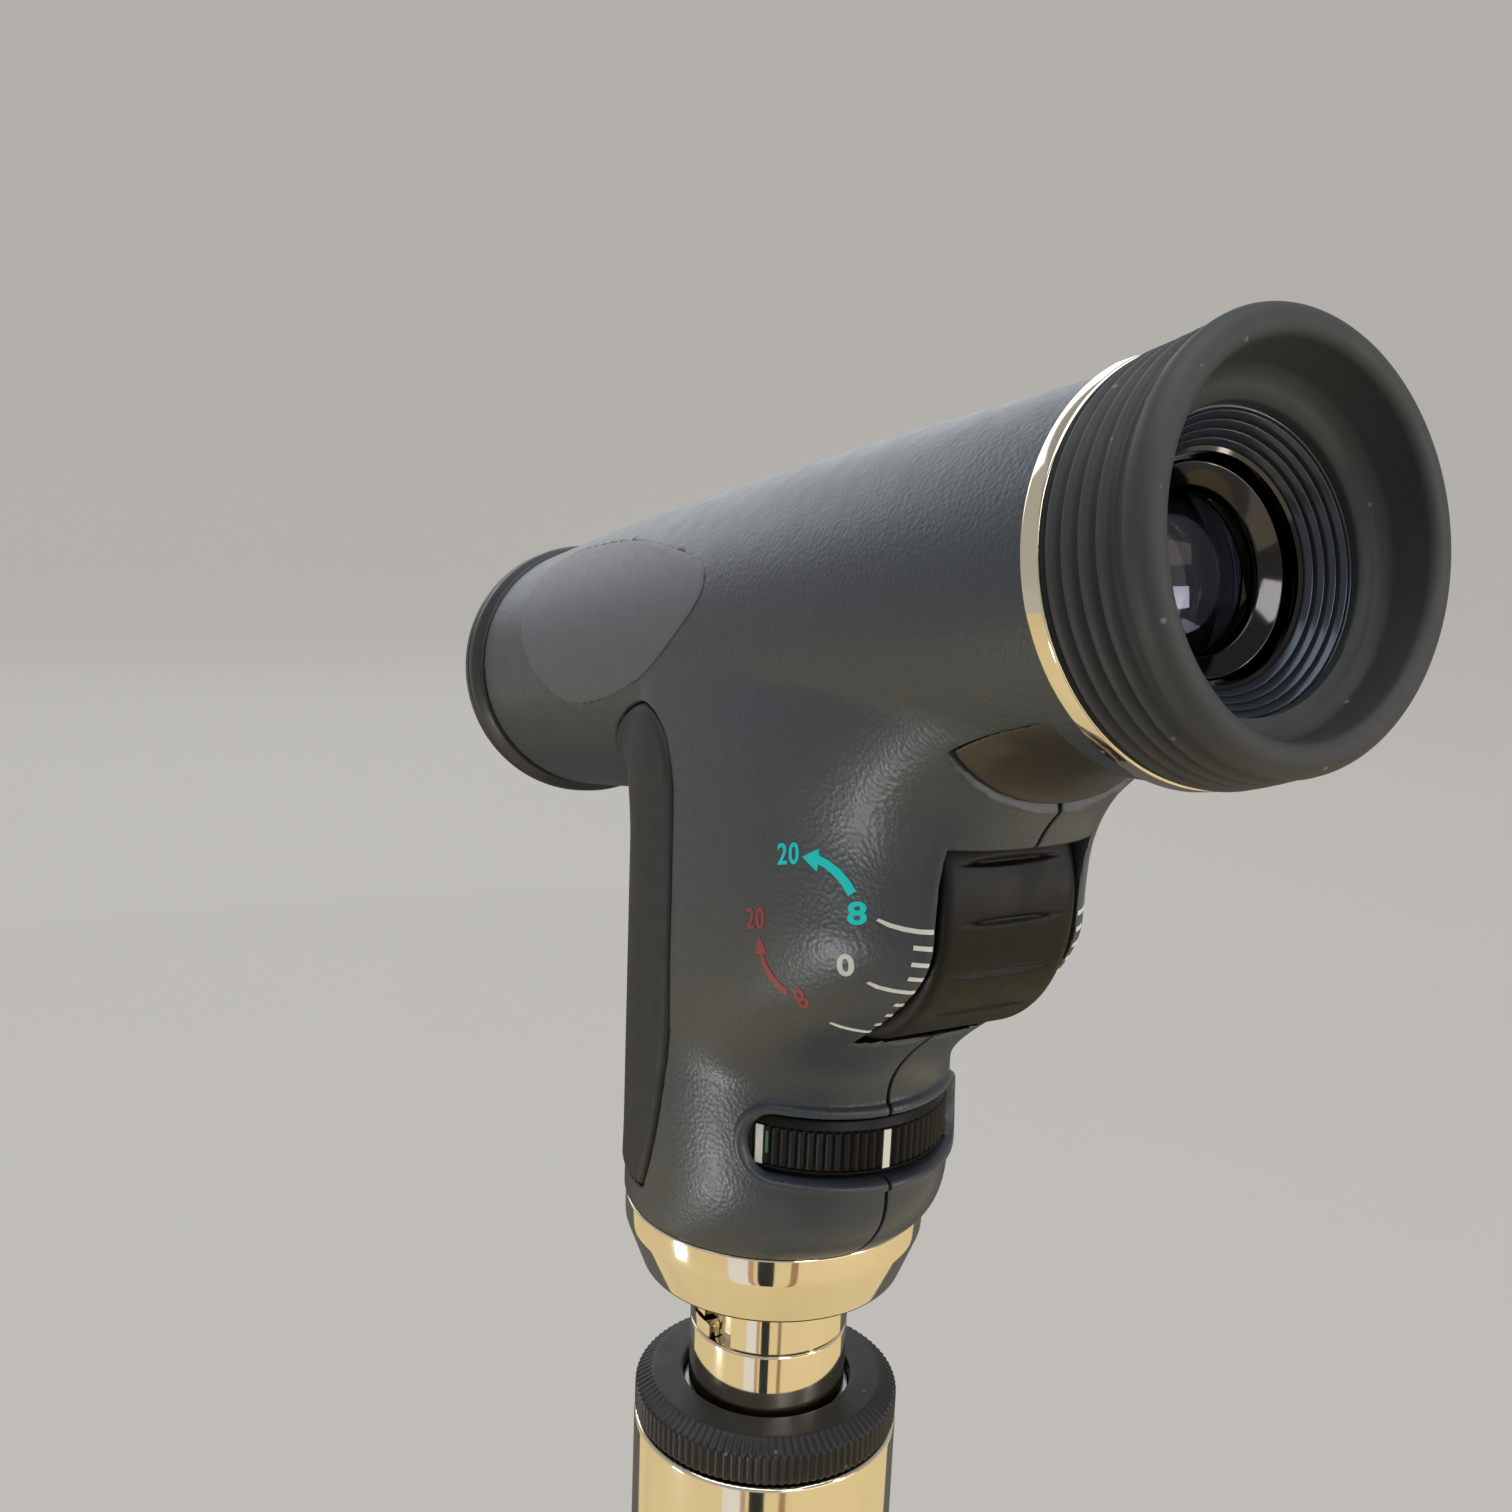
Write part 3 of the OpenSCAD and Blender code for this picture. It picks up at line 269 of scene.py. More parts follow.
def outer_field(x, y, z):
    """The head's outer skin, without its windows."""
    s, h = along_barrel(y, z)
    neck = smooth_max(neck_field(x, y, z), h + 0 * x, 2.0)
    steep = np.abs(h) / (np.sqrt(x ** 2 + h ** 2) + 1e-6)
    skin = smooth_min(neck, barrel_field(x, s, h), mix(0.4, 9.0, smooth(part_of(0.3, 0.85, steep))))
    skin = smooth_max(skin, np.abs(s - (FRONT_S + REAR_S) / 2) - (REAR_S - FRONT_S) / 2 + 0 * x, 0.5)
    return smooth_max(skin, COLLAR_H - z + 0 * skin, 0.4)


class Outline:
    """Signed distance from a closed outline in a plane, negative inside, read from a small table."""

    def __init__(self, points, step=0.2, margin=4.0, curve=6):
        p = np.array(points, float)
        if curve:
            p = closed_curve(p, curve)
        self.points = p
        self.low = p.min(axis=0) - margin
        count = np.ceil((p.max(axis=0) + margin - self.low) / step).astype(int) + 1
        self.step = step
        u, v = np.meshgrid(self.low[0] + np.arange(count[0]) * step,
                           self.low[1] + np.arange(count[1]) * step, indexing="ij")
        self.table = self.measure(u.ravel(), v.ravel()).reshape(u.shape)

    def measure(self, u, v):
        best = np.full(u.shape, 1e9)
        inside = np.zeros(u.shape, bool)
        for a, b in zip(self.points, np.roll(self.points, -1, axis=0)):
            d = b - a
            t = np.clip(((u - a[0]) * d[0] + (v - a[1]) * d[1]) / (d @ d), 0, 1)
            best = np.minimum(best, (u - a[0] - t * d[0]) ** 2 + (v - a[1] - t * d[1]) ** 2)
            if d[1] != 0:
                crosses = (a[1] <= v) != (b[1] <= v)
                inside ^= crosses & (u < a[0] + (v - a[1]) * d[0] / d[1])
        return np.where(inside, -1, 1) * np.sqrt(best)

    def __call__(self, u, v):
        u, v = np.broadcast_arrays(u, v)
        fu = np.clip((u - self.low[0]) / self.step, 0, self.table.shape[0] - 1.001)
        fv = np.clip((v - self.low[1]) / self.step, 0, self.table.shape[1] - 1.001)
        i, j = fu.astype(int), fv.astype(int)
        fu, fv = fu - i, fv - j
        t = self.table
        return (t[i, j] * (1 - fu) * (1 - fv) + t[i + 1, j] * fu * (1 - fv)
                + t[i, j + 1] * (1 - fu) * fv + t[i + 1, j + 1] * fu * fv)


def closed_curve(points, parts):
    """A smooth closed curve through points."""
    p0, p1 = np.roll(points, 1, axis=0), points
    p2, p3 = np.roll(points, -1, axis=0), np.roll(points, -2, axis=0)
    out = []
    for k in range(parts):
        t = k / parts
        out.append(0.5 * ((2 * p1) + (p2 - p0) * t + (2 * p0 - 5 * p1 + 4 * p2 - p3) * t ** 2
                          + (3 * p1 - p0 - 3 * p2 + p3) * t ** 3))
    return np.stack(out, axis=1).reshape(-1, 2)


grip_side = Outline([
    (22, 29.6), (8, 29.6), (0.4, 29.7), (-1.2, 31), (-3.2, 37), (-4.4, 43), (-5.4, 50), (-5.6, 60),
    (-5.4, 71), (-4.6, 74.4), (-3, 77), (-0.8, 78.6), (1.8, 79.4), (4.8, 79.2), (9, 77.8), (13.4, 75.4),
    (17, 72.6), (19, 70), (22, 66), (24, 48)])
leaf_side = Outline([
    (9.9, 4.4), (8.6, 6.2), (1.9, 8.2), (-6.4, 10), (-16, 11.5), (-27, 12.4), (-36, 12.6), (-40.6, 11.4),
    (-42.2, 8.6), (-41, 5.2), (-37.6, 1.2), (-33.4, -2.2), (-28.6, -4.6), (-22.6, -5.4), (-14.1, -5),
    (-5.2, -3.6), (1, -1.6), (7, 1.2), (9.6, 3)], curve=5)
UNDER_R, UNDER_SEAT = 15.0, 1.2
under_plan = Outline(rounded([
    (-10.8, 40.7, 0.4), (-4.0, 40.5), (4.0, 40.5), (10.8, 40.7, 0.4), (12.2, 52.6, 1.2), (-12.2, 52.6, 1.2)]),
    curve=0, margin=3)


def under_label(x, s, h):
    """The outline of the lower label, wrapped round the barrel's underside."""
    return under_plan(UNDER_R * np.arctan2(x + 0 * h, -h), s + 0 * x)


def seat_field(skin, outline, depth, room=0.15):
    """The seat of an inlay: from its outline, and from depth under the skin outward."""
    return np.maximum(outline - room, -(skin + depth))


def shell_field(x, y, z):
    """The left half of the head's shells."""
    s, h = along_barrel(y, z)
    skin = outer_field(x, y, z)
    # Raised lip round the dial's window, which is a slot round the dial's axis
    aside = SLOT_R * np.abs(np.arctan2(x + 0 * y, -(y + DIAL_Y)))
    window = np.hypot(np.maximum(aside - SLOT_REACH, 0), z - DIAL_MID) - SLOT_HALF
    body = smooth_min(skin, np.hypot(window - 0.6, skin - 0.08) - 0.55, 0.35)
    # Inside
    bore = np.sqrt(x ** 2 + h ** 2) - BORE_R
    inner_neck = neck_field(x, y, z) + WALL
    spigot = np.maximum(np.hypot(x, y) - 13.7, z - 29.5)
    hollow = np.minimum(np.minimum(bore, np.maximum(inner_neck, h)), spigot)
    # Windows
    round_wheel = np.hypot(y + WHEEL_Y, z - WHEEL_H) - WHEEL_R - 0.5
    opening = np.maximum(np.maximum(WINDOW_LOW - z, z - WINDOW_TOP), y + 21.6)
    focus_cut = np.maximum(np.abs(x) - WINDOW_HALF, np.minimum(round_wheel, opening))
    dial_room = np.maximum(np.hypot(x, y + DIAL_Y) - DIAL_R - 0.3, np.abs(z - DIAL_MID) - SLOT_HALF)
    dial_cut = np.minimum(window, np.maximum(dial_room, skin + 0.4))
    body = smooth_max(body, -hollow, 0.3)
    body = smooth_max(body, -focus_cut, 0.45)
    body = smooth_max(body, -dial_cut, 0.3)
    # Seats of the grip and the labels
    body = smooth_max(body, -seat_field(skin, grip_side(y, z), 1.0), 0.25)
    body = smooth_max(body, -seat_field(skin, leaf_side(s, h), 0.45, -0.2), 0.1)
    body = smooth_max(body, -seat_field(skin, under_label(x, s, h), UNDER_SEAT, 0.3), 0.12)
    # The seam between the halves, open at the skin and closed under it
    gap = mix(0.01, SEAM, smooth(part_of(-1.3, -0.8, skin)))
    return smooth_max(body, x + gap, mix(0.01, 0.12, gap / SEAM))


def grip_field(x, y, z):
    skin = outer_field(x, y, z)
    body = smooth_max(skin - 0.35, grip_side(y, z) + 0.05, 0.9)
    return np.maximum(body, -(skin + 0.95))


def inlay_field(x, s, h, outline, proud, deep=0.55):
    """A thin inlay in the barrel's own frame, from deep under the skin to proud over it."""
    _, y, z = from_barrel(x, s, h)
    skin = outer_field(x, y, z)
    body = smooth_max(skin - proud, outline + 0.02, 0.14)
    return np.maximum(body, -(skin + deep))


# ---- meshes from fields

def gradient(field, p, step=0.02):
    return np.stack([(field(*(p + d).T) - field(*(p - d).T)) / (2 * step) for d in step * np.eye(3)], axis=1)


def mesh_of(field, axes):
    """Points and quads of the surface where field is zero. Each cell's point is where the tangent planes
    of its crossings meet, so sharp edges stay sharp."""
    shape = tuple(len(a) for a in axes)
    values = np.broadcast_to(field(*np.ix_(*axes)), shape)
    inside = values < 0
    cell_shape = tuple(n - 1 for n in shape)
    ids, sums, quads = [], [], []
    for k in range(3):
        at = np.argwhere(np.diff(inside, axis=k))
        beyond = at + np.eye(3, dtype=int)[k]
        va, vb = values[tuple(at.T)], values[tuple(beyond.T)]
        ta, tb = np.zeros(len(at)), np.ones(len(at))
        p = np.stack([axes[m][at[:, m]] for m in range(3)], axis=1)
        length = axes[k][beyond[:, k]] - axes[k][at[:, k]]
        start = p[:, k].copy()
        for _ in range(3):
            t = ta + (tb - ta) * np.clip(va / (va - vb), 0.05, 0.95)
            p[:, k] = start + t * length
            v = field(*p.T)
            same = (v < 0) == (va < 0)
            ta, va = np.where(same, t, ta), np.where(same, v, va)
            tb, vb = np.where(same, tb, t), np.where(same, vb, v)
        t = ta + (tb - ta) * va / (va - vb + 1e-12 * (va == vb))
        p[:, k] = start + t * length
        n = gradient(field, p)
        n /= np.linalg.norm(n, axis=1, keepdims=True) + 1e-12
        dot = np.sum(n * p, axis=1)
        m, o = (k + 1) % 3, (k + 2) % 3
        corner_ids = []
        for dm, do in ((-1, -1), (0, -1), (0, 0), (-1, 0)):
            cell = at.copy()
            cell[:, m] += dm
            cell[:, o] += do
            cell = np.clip(cell, 0, np.array(cell_shape) - 1)
            corner_ids.append(np.ravel_multi_index(tuple(cell.T), cell_shape))
        rows = np.column_stack([(n[:, :, None] * n[:, None, :]).reshape(-1, 9), n * dot[:, None], p,
                                np.ones(len(p))])
        ids += corner_ids
        sums += [rows] * 4
        quad = np.stack(corner_ids, axis=1)
        flip = ~inside[tuple(at.T)]
        quad[flip] = quad[flip][:, ::-1]
        quads.append(quad)
    ids, sums = np.concatenate(ids), np.concatenate(sums)
    cells, where = np.unique(ids, return_inverse=True)
    total = np.stack([np.bincount(where, column, len(cells)) for column in sums.T], axis=1)
    count = total[:, 15:]
    mass = total[:, 12:15] / count
    pull = 0.06 * count
    normal_matrix = total[:, :9].reshape(-1, 3, 3) + pull[:, :, None] * np.eye(3)
    points = np.linalg.solve(normal_matrix, (total[:, 9:12] + pull * mass)[:, :, None])[:, :, 0]
    at = np.unravel_index(cells, cell_shape)
    low, high = (np.stack([a[i + up] for a, i in zip(axes, at)], axis=1) for up in (0, 1))
    points = np.clip(points, low, high)
    faces = np.searchsorted(cells, np.concatenate(quads))
    for _ in range(2):
        g = gradient(field, points)
        v = field(*points.T)
        slope = np.maximum(np.sum(g * g, axis=1, keepdims=True), 0.4)
        points -= np.clip(v, -0.12, 0.12)[:, None] * g / slope
    return points, faces


def span(low, high, step):
    return np.linspace(low, high, int(round((high - low) / step)) + 1)


def graded(marks):
    """Grid lines through marks (place, step from there on)."""
    runs = [span(a[0], b[0], a[1])[:-1] for a, b in zip(marks, marks[1:])]
    return np.concatenate(runs + [[marks[-1][0]]])


def shell_axes(step):
    """Grid lines across the left shell, closer at the seam, the dial's window and the lower label."""
    near = -np.cumsum(np.geomspace(0.06, step, 8))[::-1]
    fine = step / 2
    x = graded([(-17.2, step), (-13.2, fine), (-9.2, step), (near[0], step)])
    y = graded([(-57.2, step), (-56.4, fine), (-40.4, step), (-22.6, fine), (-10.4, step), (57.4, step)])
    z = graded([(COLLAR_H - 0.6, step), (35.4, fine), (46.4, step), (78.0, fine), (87.5, step),
                (113.6, step)])
    return np.concatenate([x, near[1:], [0.0, 0.06]]), y, z


# ---- materials

def rgb(*screen):
    """A colour given as 0 to 255 screen values, as linear light."""
    out = [(v / 255 / 12.92) if v / 255 <= 0.04045 else ((v / 255 + 0.055) / 1.055) ** 2.4 for v in screen]
    return (*out, 1.0)


def wire(tree, node, inputs):
    """Sets a node's inputs to values or links them to other nodes' outputs."""
    for key, value in inputs.items():
        if isinstance(value, bpy.types.NodeSocket):
            tree.links.new(value, node.inputs[key])
        else:
            node.inputs[key].default_value = value
    return node


def add_node(tree, kind, inputs, **settings):
    node = tree.nodes.new("ShaderNode" + kind)
    for key, value in settings.items():
        setattr(node, key, value)
    return wire(tree, node, inputs)


def noise(tree, place, size, detail=4.0, kind="noise"):
    """A texture of clouds or cells about size millimetres wide."""
    scale = 1.0 / (size * MM)
    if kind == "cells":
        cells = {"Vector": place, "Scale": scale, "Smoothness": 0.35}
        return add_node(tree, "TexVoronoi", cells, feature="SMOOTH_F1").outputs["Distance"]
    return add_node(tree, "TexNoise", {"Vector": place, "Scale": scale, "Detail": detail}).outputs["Fac"]


def ranged(tree, value, low, high, start=0.0, end=1.0):
    limits = {"Value": value, "From Min": start, "From Max": end, "To Min": low, "To Max": high}
    return add_node(tree, "MapRange", limits).outputs["Result"]


def mixed(tree, factor, a, b):
    """A colour between a and b, each a colour or another node's output."""
    return add_node(tree, "Mix", {"Factor": factor, "A": a, "B": b}, data_type="RGBA").outputs["Result"]


def material(name, colour, rough, metal=0.0, patchy=0.07, patch=6.0, uneven=0.05, grain=0.3, relief=0.004,
             kind="noise", stretch=None, dust=0.0, **more):
    """A surface whose colour and gloss vary in patches, with a fine relief. Sizes in millimetres."""
    made = bpy.data.materials.new(name)
    made.use_nodes = True
    tree = made.node_tree
    place = tree.nodes.new("ShaderNodeTexCoord").outputs["Object"]
    if stretch:
        place = add_node(tree, "Mapping", {"Vector": place, "Scale": stretch}).outputs["Vector"]
    dark = (*[c * (1 - patchy) for c in colour[:3]], 1.0)
    light = (*[min(1.0, c * (1 + patchy)) for c in colour[:3]], 1.0)
    tone = mixed(tree, noise(tree, place, patch), dark, light)
    gloss = ranged(tree, noise(tree, place, patch * 0.4), rough - uneven, rough + uneven, 0.3, 0.7)
    if dust:
        specks = add_node(tree, "TexVoronoi", {"Vector": place, "Scale": 1.0 / (3.2 * MM)})
        speck = ranged(tree, specks.outputs["Distance"], dust, 0.0, 0.035, 0.075)
        tone = mixed(tree, speck, tone, rgb(150, 150, 148))
    height = noise(tree, place, grain, 3.0, kind)
    bump = add_node(tree, "Bump", {"Distance": relief * MM, "Height": height})
    more = {key.replace("_", " "): value for key, value in more.items()}
    wire(tree, tree.nodes["Principled BSDF"], {
        "Base Color": tone, "Roughness": gloss, "Metallic": metal, "Normal": bump.outputs["Normal"], **more})
    return made


# Metal tinted warm gold: the tint is painted reflection of warm surroundings, laid over the chrome's own pale
# colour.
def chrome(name, rough):
    return material(name, (0.84, 0.76, 0.62, 1.0), rough, 1.0, patchy=0.015, uneven=0.02, grain=1.2,
                    relief=0.0006)


def ink(name, colour, **more):
    return material("ink_" + name, colour, 0.5, grain=0.12, relief=0.006, **more)


MATERIALS = {
    "shell_plastic": material("slate_shell", rgb(63, 70, 78), 0.37, grain=0.42, relief=0.03, kind="cells",
        patchy=0.04, uneven=0.03),
    "grip_rubber": material("grip_rubber", rgb(33, 34, 35), 0.62, grain=0.18, relief=0.02, kind="cells"),
    "cup_rubber": material("cup_rubber", rgb(56, 58, 60), 0.62, grain=0.15, relief=0.012, dust=0.5,
        patch=9.0),
    "chrome": chrome("bright_chrome", 0.07),
    "tube_metal": chrome("tube_chrome", 0.08),
    "sleeve": material("sleeve_rubber", rgb(40, 41, 43), 0.7, grain=0.2, relief=0.02, kind="cells"),
    "ring_plastic": material("ring_black", rgb(22, 23, 25), 0.45, grain=0.14, relief=0.01, dust=0.5),
    "wheel_plastic": material("wheel_black", rgb(15, 15, 16), 0.48, grain=0.2, relief=0.006,
        Specular_IOR_Level=0.25),
    "button_plastic": material("button_green", rgb(58, 140, 82), 0.3, relief=0.003),
    "black_anodised": material("black_satin", rgb(44, 46, 49), 0.40, 0.1, grain=0.12, relief=0.005),
    "grey_eyepiece": material("eyepiece_grey", rgb(66, 73, 82), 0.22, 0.5, grain=0.2, relief=0.003),
    "label_film": material("label_film", rgb(104, 106, 113), 0.5, grain=0.5, relief=0.01, patchy=0.12,
        patch=1.6),
    "label_metal": material("label_bronze", rgb(70, 64, 54), 0.34, 0.3, grain=0.2,
        stretch=(1.0, 1.0, 6.0)),
    "steel": material("machined_steel", (0.40, 0.41, 0.43, 1.0), 0.32, 1.0, grain=0.2, relief=0.003),
    "spring_steel": material("spring_steel", (0.44, 0.45, 0.46, 1.0), 0.28, 1.0, grain=0.1, relief=0.002),
    "brass": material("brass", (0.58, 0.37, 0.10, 1.0), 0.28, 1.0, grain=0.2, relief=0.003),
    "aluminium": material("aluminium", (0.42, 0.43, 0.44, 1.0), 0.38, 1.0, grain=0.2),
    "insulator": material("insulator", rgb(222, 217, 202), 0.5, grain=0.2, relief=0.006),
    "battery_wrap": material("battery_wrap", rgb(60, 90, 120), 0.3, grain=0.8),
    "track_carbon": material("track_carbon", rgb(60, 48, 40), 0.6, grain=0.1, relief=0.01),
    "glass": material("coated_glass", (0.93, 0.94, 1.0, 1.0), 0.02, patchy=0.01, uneven=0.01, grain=4.0,
        relief=0.0002, Transmission_Weight=1.0, IOR=1.5, Coat_Weight=0.4, Coat_Tint=(0.86, 0.84, 0.98, 1.0),
        Coat_Roughness=0.03),
    "lamp_glass": material("lamp_glass", (0.95, 0.96, 0.95, 1.0), 0.03, patchy=0.01, uneven=0.01, grain=3.0,
        relief=0.0004, Transmission_Weight=1.0, IOR=1.45),
    "green_glass": material("green_glass", (0.10, 0.62, 0.24, 1.0), 0.03, patchy=0.03, uneven=0.01,
        grain=3.0, relief=0.0003, Transmission_Weight=0.9),
    "blue_glass": material("blue_glass", (0.08, 0.22, 0.72, 1.0), 0.03, patchy=0.03, uneven=0.01, grain=3.0,
        relief=0.0003, Transmission_Weight=0.9),
    "mirror_glass": material("silvered_glass", (0.90, 0.92, 0.94, 1.0), 0.03, 1.0, patchy=0.01, uneven=0.01,
        grain=3.0, relief=0.0002),
}
INK_WHITE = ink("white", rgb(252, 249, 240), Specular_IOR_Level=0.25)
INK_CYAN = ink("cyan", rgb(0, 240, 238), Specular_IOR_Level=0.25)
INK_RED = ink("red", rgb(170, 56, 58), patchy=0.1)
INK_GREEN = ink("green", rgb(40, 120, 80))
RETAINER_BLACK = material("retainer_black", (0.04, 0.038, 0.036, 1.0), 0.08, 1.0, grain=0.4, relief=0.001,
                          uneven=0.02)

for subpart in frame["record"]["subparts"]:
    data = frame["nodes"][subpart["node"]].data
    data.materials.clear()
    data.materials.append(MATERIALS[subpart["material_slot"]])

# ---- head shells, grip and labels

FINE = 0.45


def both_sides(name, node, slot, points, faces, place):
    """A left piece and its mirror image, each standing for its side's node."""
    for side, turn in (("left", 1), ("right", -1)):
        add_piece(name + side, place(points * np.array([turn, 1.0, 1.0])), faces[:, ::turn], "head", slot,
                  [node + side], sharp=40)


both_sides("shell_", "housing_", "shell_plastic", *mesh_of(shell_field, shell_axes(FINE)), head_place)
points, faces = mesh_of(grip_field, (span(-17.4, 17.4, FINE), span(-7.2, 24.6, FINE), span(28.4, 81, FINE)))
add_piece("grip_pad", head_place(points), faces, "head", "grip_rubber", ["front_grip"], sharp=40)
points, faces = mesh_of(
    lambda x, s, h: inlay_field(x, s, h, leaf_side(s, h), 0.12),
    (span(-16.6, -7.0, FINE * 0.8), span(-43.4, 11, FINE * 0.8), span(-6.6, 13.8, FINE * 0.8)))
both_sides("leaf_label_", "label_", "label_film", points[:, [0, 2, 1]], faces[:, ::-1], barrel_place)
points, faces = mesh_of(lambda x, s, h: inlay_field(x, s, h, under_label(x, s, h), -0.4, UNDER_SEAT),
                        (span(-12.4, 12.4, 0.25), span(39.6, 54.8, 0.25), span(-17.6, -7.4, 0.2)))
add_piece("under_plate", barrel_place(points[:, [0, 2, 1]]), faces[:, ::-1], "head", "label_metal",
          ["label_under"], sharp=40)

# ---- rings, lenses and eyepiece


def turned_piece(name, corners, place, body, slot, nodes=(), sides=160, arc=5, cut=None, longest=None,
                 sharp=35.0, look=None):
    profile = rounded(corners, arc)
    if longest:
        profile = split_long(profile, longest)
    points, faces = turned(profile, sides, cut)
    return add_piece(name, place(points), faces, body, slot, nodes, sharp, look)


def lens_profile(radius, edge, bulge, middle, parts=14):
    """Half of a lens with two domed faces, as (radius, height)."""
    t = np.linspace(0, 1, parts)
    dome = edge / 2 + bulge * (1 - t ** 2)
    rows = [(radius * u, middle + d) for u, d in zip(t, dome)]
    rows += [(radius * u, middle - d) for u, d in zip(t[::-1], dome[::-1])]
    return rows


turned_piece("front_ring_shell", [
    (13.0, -60.2, 0.25), (16.33, -60.2, 1.5), (16.33, -58.5, 0.1), (16.15, -58.4, 0.05),
    (16.15, -58.2, 0.05), (16.33, -58.1, 0.1), (16.33, -57.0, 0.4), (15.62, -55.5, 0.3),
    (14.95, -55.45, 0.1), (14.95, -54.95), (13.15, -54.95), (13.15, -46.95, 0.1), (11.4, -46.95, 0.1),
    (11.4, -50.7, 0.1), (12.4, -50.7), (12.4, -58.0, 0.1), (13.0, -58.6, 0.1)],
    barrel_place, "head", "black_anodised", ["front_ring"], sides=192)
turned_piece("objective_glass", lens_profile(12.4, 2.5, 1.6, -52.15), barrel_place, "head", "glass",
             ["objective_lens"], arc=1)
turned_piece("objective_clamp", [
    (11.2, -55.2, 0.2), (12.4, -55.2, 0.15), (12.4, -53.8), (11.2, -53.8, 0.1)],
    barrel_place, "head", "black_anodised", ["objective_retainer"])
turned_piece("rear_trim", [
    (13.22, 56.12), (14.75, 56.12, 0.1), (15.21, 56.5, 0.25), (15.12, 58.18, 0.22), (13.22, 58.18)],
    barrel_place, "head", "chrome", ["rear_ring"], sides=224)

STEP_S, STEP_R, STEP_RISE, STEP_RUN = 58.05, 8.35, 0.56, 0.5
steps = []
for k in range(4):
    r, s = STEP_R + k * STEP_RUN, STEP_S + k * STEP_RISE
    steps += [(r, s, 0.12), (r + STEP_RUN - 0.16, s + STEP_RISE - 0.14, 0.16),
              (r + STEP_RUN - 0.05, s + 0.22, 0.05)]
turned_piece("eyepiece_body", [
    (7.7, 44.5), (7.7, 54.4), (8.3, 54.4), (8.3, 57.95, 0.1)] + steps + [
    (10.35, 60.22, 0.1), (12.2, 60.22), (12.2, 58.2), (13.2, 58.2), (13.2, 44.5)],
    barrel_place, "head", "grey_eyepiece", ["eyepiece_barrel"], arc=4)
turned_piece("eyepiece_glass", lens_profile(7.7, 3.0, 1.8, 50.95), barrel_place, "head",
             "glass", ["eyepiece_lens"], arc=1)
turned_piece("eyepiece_clamp", [
    (7.7, 52.9), (7.7, 54.3), (7.6, 54.4), (7.6, 56.8, 0.1), (7.4, 56.95, 0.15), (5.85, 56.15, 0.12),
    (5.6, 55.7, 0.2), (5.6, 54.7, 0.3), (6.8, 52.9)],
    barrel_place, "head", "black_anodised", ["eyepiece_retainer"], sides=192, look=RETAINER_BLACK)
# A black lining in the groove behind the clamp: painted shade, which darkens the groove where shadow falls.
turned_piece("eyepiece_groove_painted_shade", [(7.95, 54.45), (8.27, 54.45), (8.27, 57.9), (7.95, 57.8)],
    barrel_place, "head", "black_anodised", look=RETAINER_BLACK)

CUP_CREST, CUP_GROOVE, CUP_PITCH, CUP_RIBS = 15.15, 0.62, 1.22, 4
LIP_MID, LIP_ROUND = 13.68, 1.45


def cup_profile():
    """The eyecup's section: bellows, the neck behind them, the rolled lip and the bore."""
    rows = [(12.2, CUP_S), (14.7, CUP_S), (15.05, CUP_S + 0.25)]
    start = CUP_S + 0.4
    for k in range(CUP_RIBS):
        for t in np.linspace(0, 1, 13)[:-1]:
            crest = 0.5 + 0.5 * math.cos(2 * math.pi * (t - 0.5))
            shape = 1 - (1 - crest) ** 2.2
            rows.append((CUP_CREST - CUP_GROOVE * (1 - shape) - 0.03 * k, start + (k + t) * CUP_PITCH))
    end = start + CUP_RIBS * CUP_PITCH
    rows += [(14.5, end), (14.62, end + 0.3), (14.85, end + 0.75)]
    top = CUP_END - LIP_ROUND
    for a in np.linspace(-0.35, math.pi / 2, 13):
        rows.append((LIP_MID + LIP_ROUND * math.cos(a), top + LIP_ROUND * math.sin(a)))
    for a in np.linspace(math.pi / 2, math.pi, 8)[1:]:
        rows.append((LIP_MID + 0.9 * math.cos(a), CUP_END - 0.9 + 0.9 * math.sin(a)))
    rows += [(12.68, 64.6), (12.55, 63.6), (12.4, 62.7), (12.28, 62.15), (12.0, 61.95), (11.9, 61.7),
             (11.4, 61.5), (10.5, 61.2), (10.42, 60.9), (10.42, 60.28), (12.2, 60.28)]
    return np.array(rows)


points, faces = turned(cup_profile(), 192)
# The cup is squashed and leans a little, as in the photograph
bend = part_of(58.9, 65.0, points[:, 2]) ** 1.3
points[:, 2] += bend * (0.03 * points[:, 1] - 0.095 * points[:, 0] + 0.45 * (points[:, 0] / 15) ** 2 - 0.15)
points[:, 1] += bend * 0.8
points[:, 0] += bend * 0.25
add_piece("eyecup_rubber", barrel_place(points), faces, "head", "cup_rubber", ["eyecup"], sharp=60)

# ---- collar, neck and handle


def carve(piece, cutters):
    """Cuts closed meshes, given as (points, faces) in millimetres, out of a piece."""
    for points, faces in cutters:
        cutter = mesh_object("cutter", points, faces)
        spent = (piece.data, cutter.data)
        step = piece.modifiers.new("cut", "BOOLEAN")
        step.object = cutter
        step.solver = "EXACT"
        result = evaluated_mesh(piece)
        piece.modifiers.clear()
        piece.data = result
        bpy.data.objects.remove(cutter)
        for mesh in spent:
            bpy.data.meshes.remove(mesh)
    piece.data.shade_smooth()
    piece.data.set_sharp_from_angle(angle=math.radians(30))


def prism(outline, low, high, place):
    """A closed prism over an outline (u, v), from w = low to w = high, set in place by a function."""
    p = np.asarray(outline, float)
    n = len(p)
    points = np.concatenate([np.column_stack([p, np.full(n, w)]) for w in (low, high)])
    faces = [tuple(range(n - 1, -1, -1)), tuple(range(n, 2 * n))]
    faces += [(i, (i + 1) % n, n + (i + 1) % n, n + i) for i in range(n)]
    return tidy_mesh(place(points), faces)


